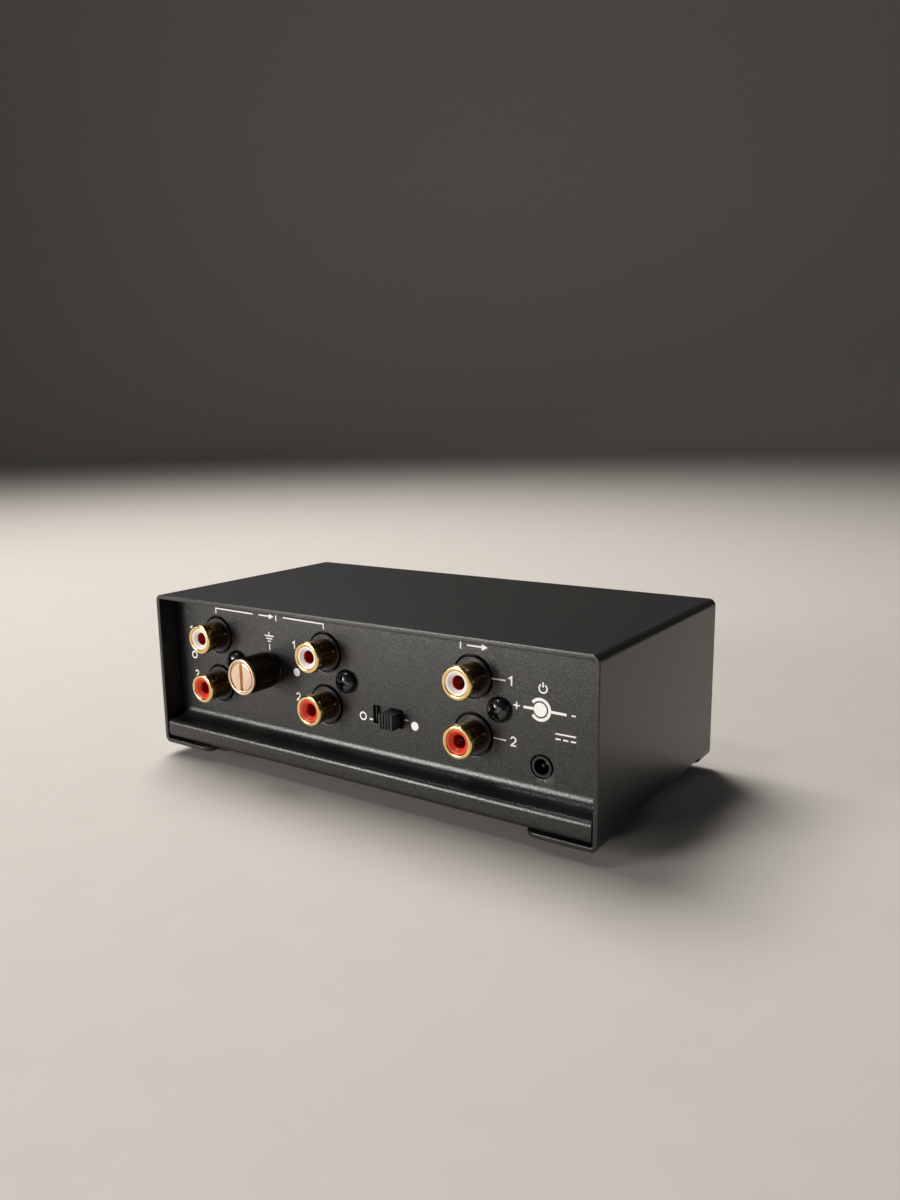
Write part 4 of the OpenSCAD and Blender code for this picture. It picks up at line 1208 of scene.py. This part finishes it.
# Finish of each node that is shown as it is.
NODE_FINISH = {
    "cover_nuts": "steel", "board_spacers": "steel", "board_screws": "steel", "ground_lug": "steel",
    # The inlet's spring and centre pin take nickel painted darker, as shade inside the socket.
    "switch_pins": "steel", "jack_ground_pins": "steel", "inlet_spring": "dull", "inlet_centre_pin": "dim",
    "foot_connector_left": "rubber", "foot_connector_right": "rubber", "foot_front_left": "rubber",
    "foot_front_right": "rubber", "circuit_board": "board", "ground_nut": "brass", "switch_base": "laminate",
    "power_lamp": "lens", "lamp_holder": "housing", "amplifier_chips": "chip", "voltage_regulator": "chip",
    "electrolytic_capacitors": "sleeve", "film_capacitors": "film", "resistors": "resistor",
}


class PREAMP_OT_fittings(Operator):
    """Finishes for the nodes that keep their CAD shape: feet, board and everything on it"""

    bl_idname = "preamp.fittings"
    bl_label = "Feet and inner parts"

    def execute(self, context):
        for name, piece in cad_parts.items():
            wanted = NODE_FINISH.get(name, "contact" if name.startswith("contact_") else None)
            if wanted is None:
                continue
            if not piece.material_slots:
                piece.data.materials.append(finish(wanted))
            for place in piece.material_slots:
                place.material = finish(wanted)
        return {"FINISHED"}


# ---------------------------------------------------------------- printed marks


def stroke(line, width):
    """Outline of a line drawn with a pen of that width, ends square: each point is moved half the
    width to both sides along the mean normal of its two neighbours."""
    line = np.asarray(line, float)
    step = np.diff(line, axis=0)
    step /= np.linalg.norm(step, axis=1)[:, None]
    side = np.concatenate([step[:1], step[:-1] + step[1:], step[-1:]])
    side /= np.linalg.norm(side, axis=1)[:, None]
    inner = np.concatenate([[1], 1 / np.maximum(0.4, (side[1:-1] * step[1:]).sum(1)), [1]])
    off = np.stack([-side[:, 1], side[:, 0]], -1) * (width / 2) * inner[:, None]
    return line + off, line - off


def ribbon(line, width, thick, y):
    """Closed thin bar along a line on the panel."""
    a, b = stroke(line, width)
    n = len(a)
    ring = np.stack([a, b], 1)
    front = np.concatenate([ring, np.full((n, 2, 1), thick)], -1)
    back = np.concatenate([ring, np.zeros((n, 2, 1))], -1)
    loop = np.stack([front[:, 0], front[:, 1], back[:, 1], back[:, 0]], 1)
    faces = grid_faces(n, 4).tolist() + [[3, 2, 1, 0], [4 * n - 4, 4 * n - 3, 4 * n - 2, 4 * n - 1]]
    return on_panel(loop.reshape(-1, 3), 0, 0, y), faces, np.zeros(len(faces))


def blob(outline, thick, y):
    """Closed thin patch inside a convex outline on the panel."""
    outline = np.asarray(outline, float)
    n = len(outline)
    front = np.concatenate([outline, np.full((n, 1), thick)], 1)
    back = np.concatenate([outline, np.zeros((n, 1))], 1)
    k = np.arange(n)
    wall = np.stack([k, k + n, (k + 1) % n + n, (k + 1) % n], -1).tolist()
    faces = wall + [list(range(n)), list(range(2 * n - 1, n - 1, -1))]
    return on_panel(np.concatenate([front, back]), 0, 0, y), faces, np.zeros(len(faces))


def arc_line(x, z, r, start, end, n):
    """Points of an arc about (x, z) between two angles in degrees."""
    a = np.radians(np.linspace(start, end, n))
    return np.stack([x + r * np.cos(a), z + r * np.sin(a)], -1)


def numeral(which, x, z, height):
    """Pen path of a plain 1 or 2, its middle at (x, z)."""
    if which == 1:
        path = np.array([(0.08, 0.72), (0.42, 0.98), (0.42, 0.0)]) - [0.33, 0.5]
    else:
        bow = arc_line(0.33, 0.69, 0.29, 172, -38, 22)
        path = np.concatenate([bow, [(0.05, 0.02), (0.66, 0.02)]]) - [0.35, 0.5]
    return path * height + [x, z]


class PREAMP_OT_print(Operator):
    """Printed marks: brackets, earth sign, arrows, plain numerals, polarity and direct-current signs"""

    bl_idname = "preamp.print"
    bl_label = "Printed marks"

    def execute(self, context):
        # The marks stand a little off the coat, so that no faces share a plane.
        y = panel_face(context) - 0.004
        thick, pen, lead = 0.02, 0.36, 0.62
        bars = [
            # bracket over the two input pairs, with an inward arrow in its gap
            [(-51.6, 39.3), (-51.6, 40.75), (-37.2, 40.6)], [(-25.8, 40.75), (-11.55, 40.6), (-11.55, 39.2)],
            [(-34.8, 40.6), (-31.0, 40.6)], [(-28.4, 39.5), (-28.4, 41.7)],
            # earth sign and its pointer
            [(-31.2, 36.2), (-31.2, 35.35)], [(-32.9, 35.15), (-29.5, 35.15)], [(-32.3, 34.4), (-30.1, 34.4)],
            [(-31.75, 33.65), (-30.65, 33.65)], [(-31.2, 32.9), (-31.2, 31.2)],
            # outward arrow over the output pair
            [(31.0, 39.4), (31.0, 41.6)], [(32.8, 40.5), (36.8, 40.5)],
            # leaders to the output jacks' numerals
            [(39.5, 33.42), (43.2, 33.46)], [(39.9, 19.2), (43.3, 19.14)],
            # pointers beside the switch
            [(3.0, 17.5), (4.05, 17.5)], [(14.15, 19.1), (15.2, 19.1)],
            # minus
            [(60.0, 27.88), (61.05, 27.88)],
            # power sign
            arc_line(52.9, 33.0, 1.0, 122, 418, 40), [(52.9, 33.3), (52.9, 34.5)],
            # direct-current sign: a line over three dashes
            [(56.1, 23.1), (61.2, 23.1)],
        ]
        bars += [[(x, 21.9), (x + 1.3, 21.9)] for x in (56.1, 58.0, 59.9)]
        bars += [numeral(*n) for n in (
            (1, 44.6, 33.5, 2.15), (2, 45.3, 19.25, 2.15), (1, -22.2, 33.7, 2.0), (2, -21.3, 19.6, 2.0),
            (1, -62.3, 33.4, 2.0), (2, -61.0, 20.4, 2.0))]
        parts = [ribbon(line, pen, thick, y) for line in bars]
        # polarity sign: a dot with its lead from the left, inside a ring whose lead goes right
        parts += [
            ribbon([(47.9, 28.0), (50.53, 28.0)], lead, thick, y),
            ribbon([(54.97, 27.9), (58.8, 27.86)], lead, thick, y),
            ribbon(arc_line(52.2, 28.0, 2.4, -143, 143, 60), 0.72, thick, y),
            blob(arc_line(52.2, 28.0, 1.65, 0, 352.5, 48), thick, y),
        ]
        cross = np.array([
            (1, 5), (1, 1), (5, 1), (5, -1), (1, -1), (1, -5),
            (-1, -5), (-1, -1), (-5, -1), (-5, 1), (-1, 1), (-1, 5)])
        parts.append(blob(cross[::-1] * 0.17 + [46.1, 28.05], thick, y))
        # arrow heads
        parts.append(blob([(-31.0, 39.75), (-29.3, 40.6), (-31.0, 41.45)], thick, y))
        parts.append(blob([(36.8, 39.65), (38.5, 40.5), (36.8, 41.35)], thick, y))
        # round marks that pair each input with its switch position: a ring and a filled dot
        for x, z in ((-61.6, 26.0), (0.9, 17.95)):
            parts.append(ribbon(arc_line(x, z, 0.95, 0, 360, 41), 0.4, thick, y))
        for x, z in ((-21.6, 26.3), (17.2, 18.0)):
            parts.append(blob(arc_line(x, z, 1.12, 0, 352.5, 48), thick, y))
        points, faces, _ = join_parts(parts)
        make_piece("panel_print", points, faces, "case", [finish("ink")], smooth=False)
        return {"FINISHED"}


# ---------------------------------------------------------------- stage


def area_lamp(name, azimuth, elevation, reach, size, watts, colour=(1, 1, 1)):
    """Soft square lamp aimed at the case, azimuth degrees to the left of the panel's front."""
    lamp = bpy.data.lights.new(name, "AREA")
    lamp.shape = "SQUARE"
    lamp.size = size
    lamp.energy = watts
    lamp.color = colour
    shape = linked(name, lamp)
    a, e = math.radians(azimuth), math.radians(elevation)
    away = Vector((-math.sin(a) * math.cos(e), -math.cos(a) * math.cos(e), math.sin(e)))
    shape.location = away * reach + Vector((0, 0, 0.02))
    shape.rotation_euler = (-away).to_track_quat("-Z", "Y").to_euler()


class PREAMP_OT_stage(Operator):
    """Floor swept up into a backdrop, soft lamps, surroundings and camera"""

    bl_idname = "preamp.stage"
    bl_label = "Stage"

    def execute(self, context):
        g = context.scene.preamp_stage
        # Metres: the floor starts in front of the case, bends up behind it and ends high.
        start, back, radius, wall_top, half_width = -3.0, 2.2, 0.8, 3.5, 5.0
        under_feet = 0.0001
        bend = np.linspace(0, math.pi / 2, 24)
        sweep = np.stack([back + radius * np.sin(bend), radius - radius * np.cos(bend)], -1)
        path = np.concatenate([[(start, 0.0)], sweep, [(back + radius, wall_top)]])
        turn = math.radians(g.azimuth)
        a, b = np.meshgrid(np.arange(len(path)), [-half_width, half_width], indexing="ij")
        along, up = path[a][..., 0], path[a][..., 1]
        x = b * math.cos(turn) - along * math.sin(turn)
        yy = b * math.sin(turn) + along * math.cos(turn)
        points = np.stack([x, yy, up + CAD_BOX[0][2] - under_feet], -1).reshape(-1, 3)
        mesh = bpy.data.meshes.new("floor")
        mesh.from_pydata(points.tolist(), [], grid_faces(len(path), 2, close_cols=False).tolist())
        shade_smooth(mesh)
        material, tree, surface, coords = start_material("floor_paper", roughness=0.85)
        fibre = noise(tree, coords, 60.0, 4.0, 0.6)
        c = np.array(g.floor)
        paper = mix(tree, ramp(tree, fibre, 0.3, 0.7), tuple(c * 0.985), tuple(c * 1.015))
        tree.links.new(paper, surface.inputs["Base Color"])
        mesh.materials.append(material)
        floor = linked("floor", mesh)

        area_lamp("front", 30, 9.5, 1.1, 0.34, g.front, (1.0, 0.98, 0.95))
        area_lamp("top", 114, 60, 1.1, 0.6, g.top, (1.0, 0.985, 0.96))
        area_lamp("glint", 28, 64, 0.9, 0.13, g.glint)

        world = bpy.data.worlds.new("surroundings")
        context.scene.world = world
        world.use_nodes = True
        tree = world.node_tree
        sky = tree.nodes["Background"]
        fill(sky, {"Color": (0.93, 0.94, 0.96, 1), "Strength": g.sky})
        backdrop = node(tree, "ShaderNodeBackground", {"Color": (*(1.15 * v for v in g.floor), 1)})
        choice = tree.nodes.new("ShaderNodeMixShader")
        tree.links.new(tree.nodes.new("ShaderNodeLightPath").outputs["Is Camera Ray"], choice.inputs[0])
        tree.links.new(sky.outputs[0], choice.inputs[1])
        tree.links.new(backdrop.outputs[0], choice.inputs[2])
        tree.links.new(choice.outputs[0], tree.nodes["World Output"].inputs["Surface"])

        camera = bpy.data.cameras.new("camera")
        camera.sensor_fit = "VERTICAL"
        sensor, frame_rows = 24.0, 1200
        camera.sensor_height = sensor
        camera.lens = g.focal / frame_rows * sensor
        camera.clip_start = 0.01
        camera.clip_end = 50
        eye = linked("camera", camera)
        az, el, ro = (math.radians(v) for v in (g.azimuth, g.elevation, g.roll))
        back_way = Vector((math.sin(az) * math.cos(el), -math.cos(az) * math.cos(el), math.sin(el)))
        right = Vector((math.cos(az), math.sin(az), 0))
        up = right.cross(-back_way)
        right2 = right * math.cos(ro) + up * math.sin(ro)
        up2 = up * math.cos(ro) - right * math.sin(ro)
        spot = (Vector(g.look) + Vector(SHIFT)) / 1000 + back_way * (g.distance / 1000)
        turned = Matrix((right2, up2, back_way)).transposed().to_4x4()
        turned.translation = spot
        eye.matrix_world = turned
        context.scene.camera = eye
        context.scene.view_settings.view_transform = "Standard"
        return {"FINISHED"}


class PREAMP_PT_parts(Panel):
    """Lists the makers and their sizes"""

    bl_idname = "PREAMP_PT_parts"
    bl_label = "Phono preamp"
    bl_space_type = "VIEW_3D"
    bl_region_type = "UI"
    bl_category = "Phono preamp"

    def draw(self, context):
        for operator in OPERATORS:
            self.layout.operator(operator.bl_idname)
        for name in GROUPS_OF_SETTINGS:
            box = self.layout.box()
            box.label(text=GROUPS_OF_SETTINGS[name][1])
            settings = getattr(context.scene, name)
            for key in GROUPS_OF_SETTINGS[name][0].__annotations__:
                box.prop(settings, key)


GROUPS_OF_SETTINGS = {
    "preamp_case": (CaseSizes, "Case"),
    "preamp_connectors": (ConnectorSizes, "Connectors"),
    "preamp_finishes": (Finishes, "Finishes"),
    "preamp_stage": (StageSettings, "Stage"),
}
OPERATORS = [
    PREAMP_OT_cover, PREAMP_OT_chassis, PREAMP_OT_jacks, PREAMP_OT_screws, PREAMP_OT_thumbscrew,
    PREAMP_OT_switch, PREAMP_OT_inlet, PREAMP_OT_fittings, PREAMP_OT_print, PREAMP_OT_stage,
]


def register():
    """Adds the settings, makers and panel."""
    for kind, _ in GROUPS_OF_SETTINGS.values():
        bpy.utils.register_class(kind)
    for kind in OPERATORS + [PREAMP_PT_parts]:
        bpy.utils.register_class(kind)
    for name, (kind, _) in GROUPS_OF_SETTINGS.items():
        setattr(bpy.types.Scene, name, PointerProperty(type=kind))


def unregister():
    """Takes them all away again."""
    for name in GROUPS_OF_SETTINGS:
        delattr(bpy.types.Scene, name)
    for kind in [PREAMP_PT_parts] + OPERATORS[::-1]:
        bpy.utils.unregister_class(kind)
    for kind, _ in GROUPS_OF_SETTINGS.values():
        bpy.utils.unregister_class(kind)


def main():
    """Makes every part: adds the settings and runs each maker."""
    register()
    for operator in OPERATORS:
        area, name = operator.bl_idname.split(".")
        getattr(getattr(bpy.ops, area), name)()


if __name__ == "__main__":
    main()
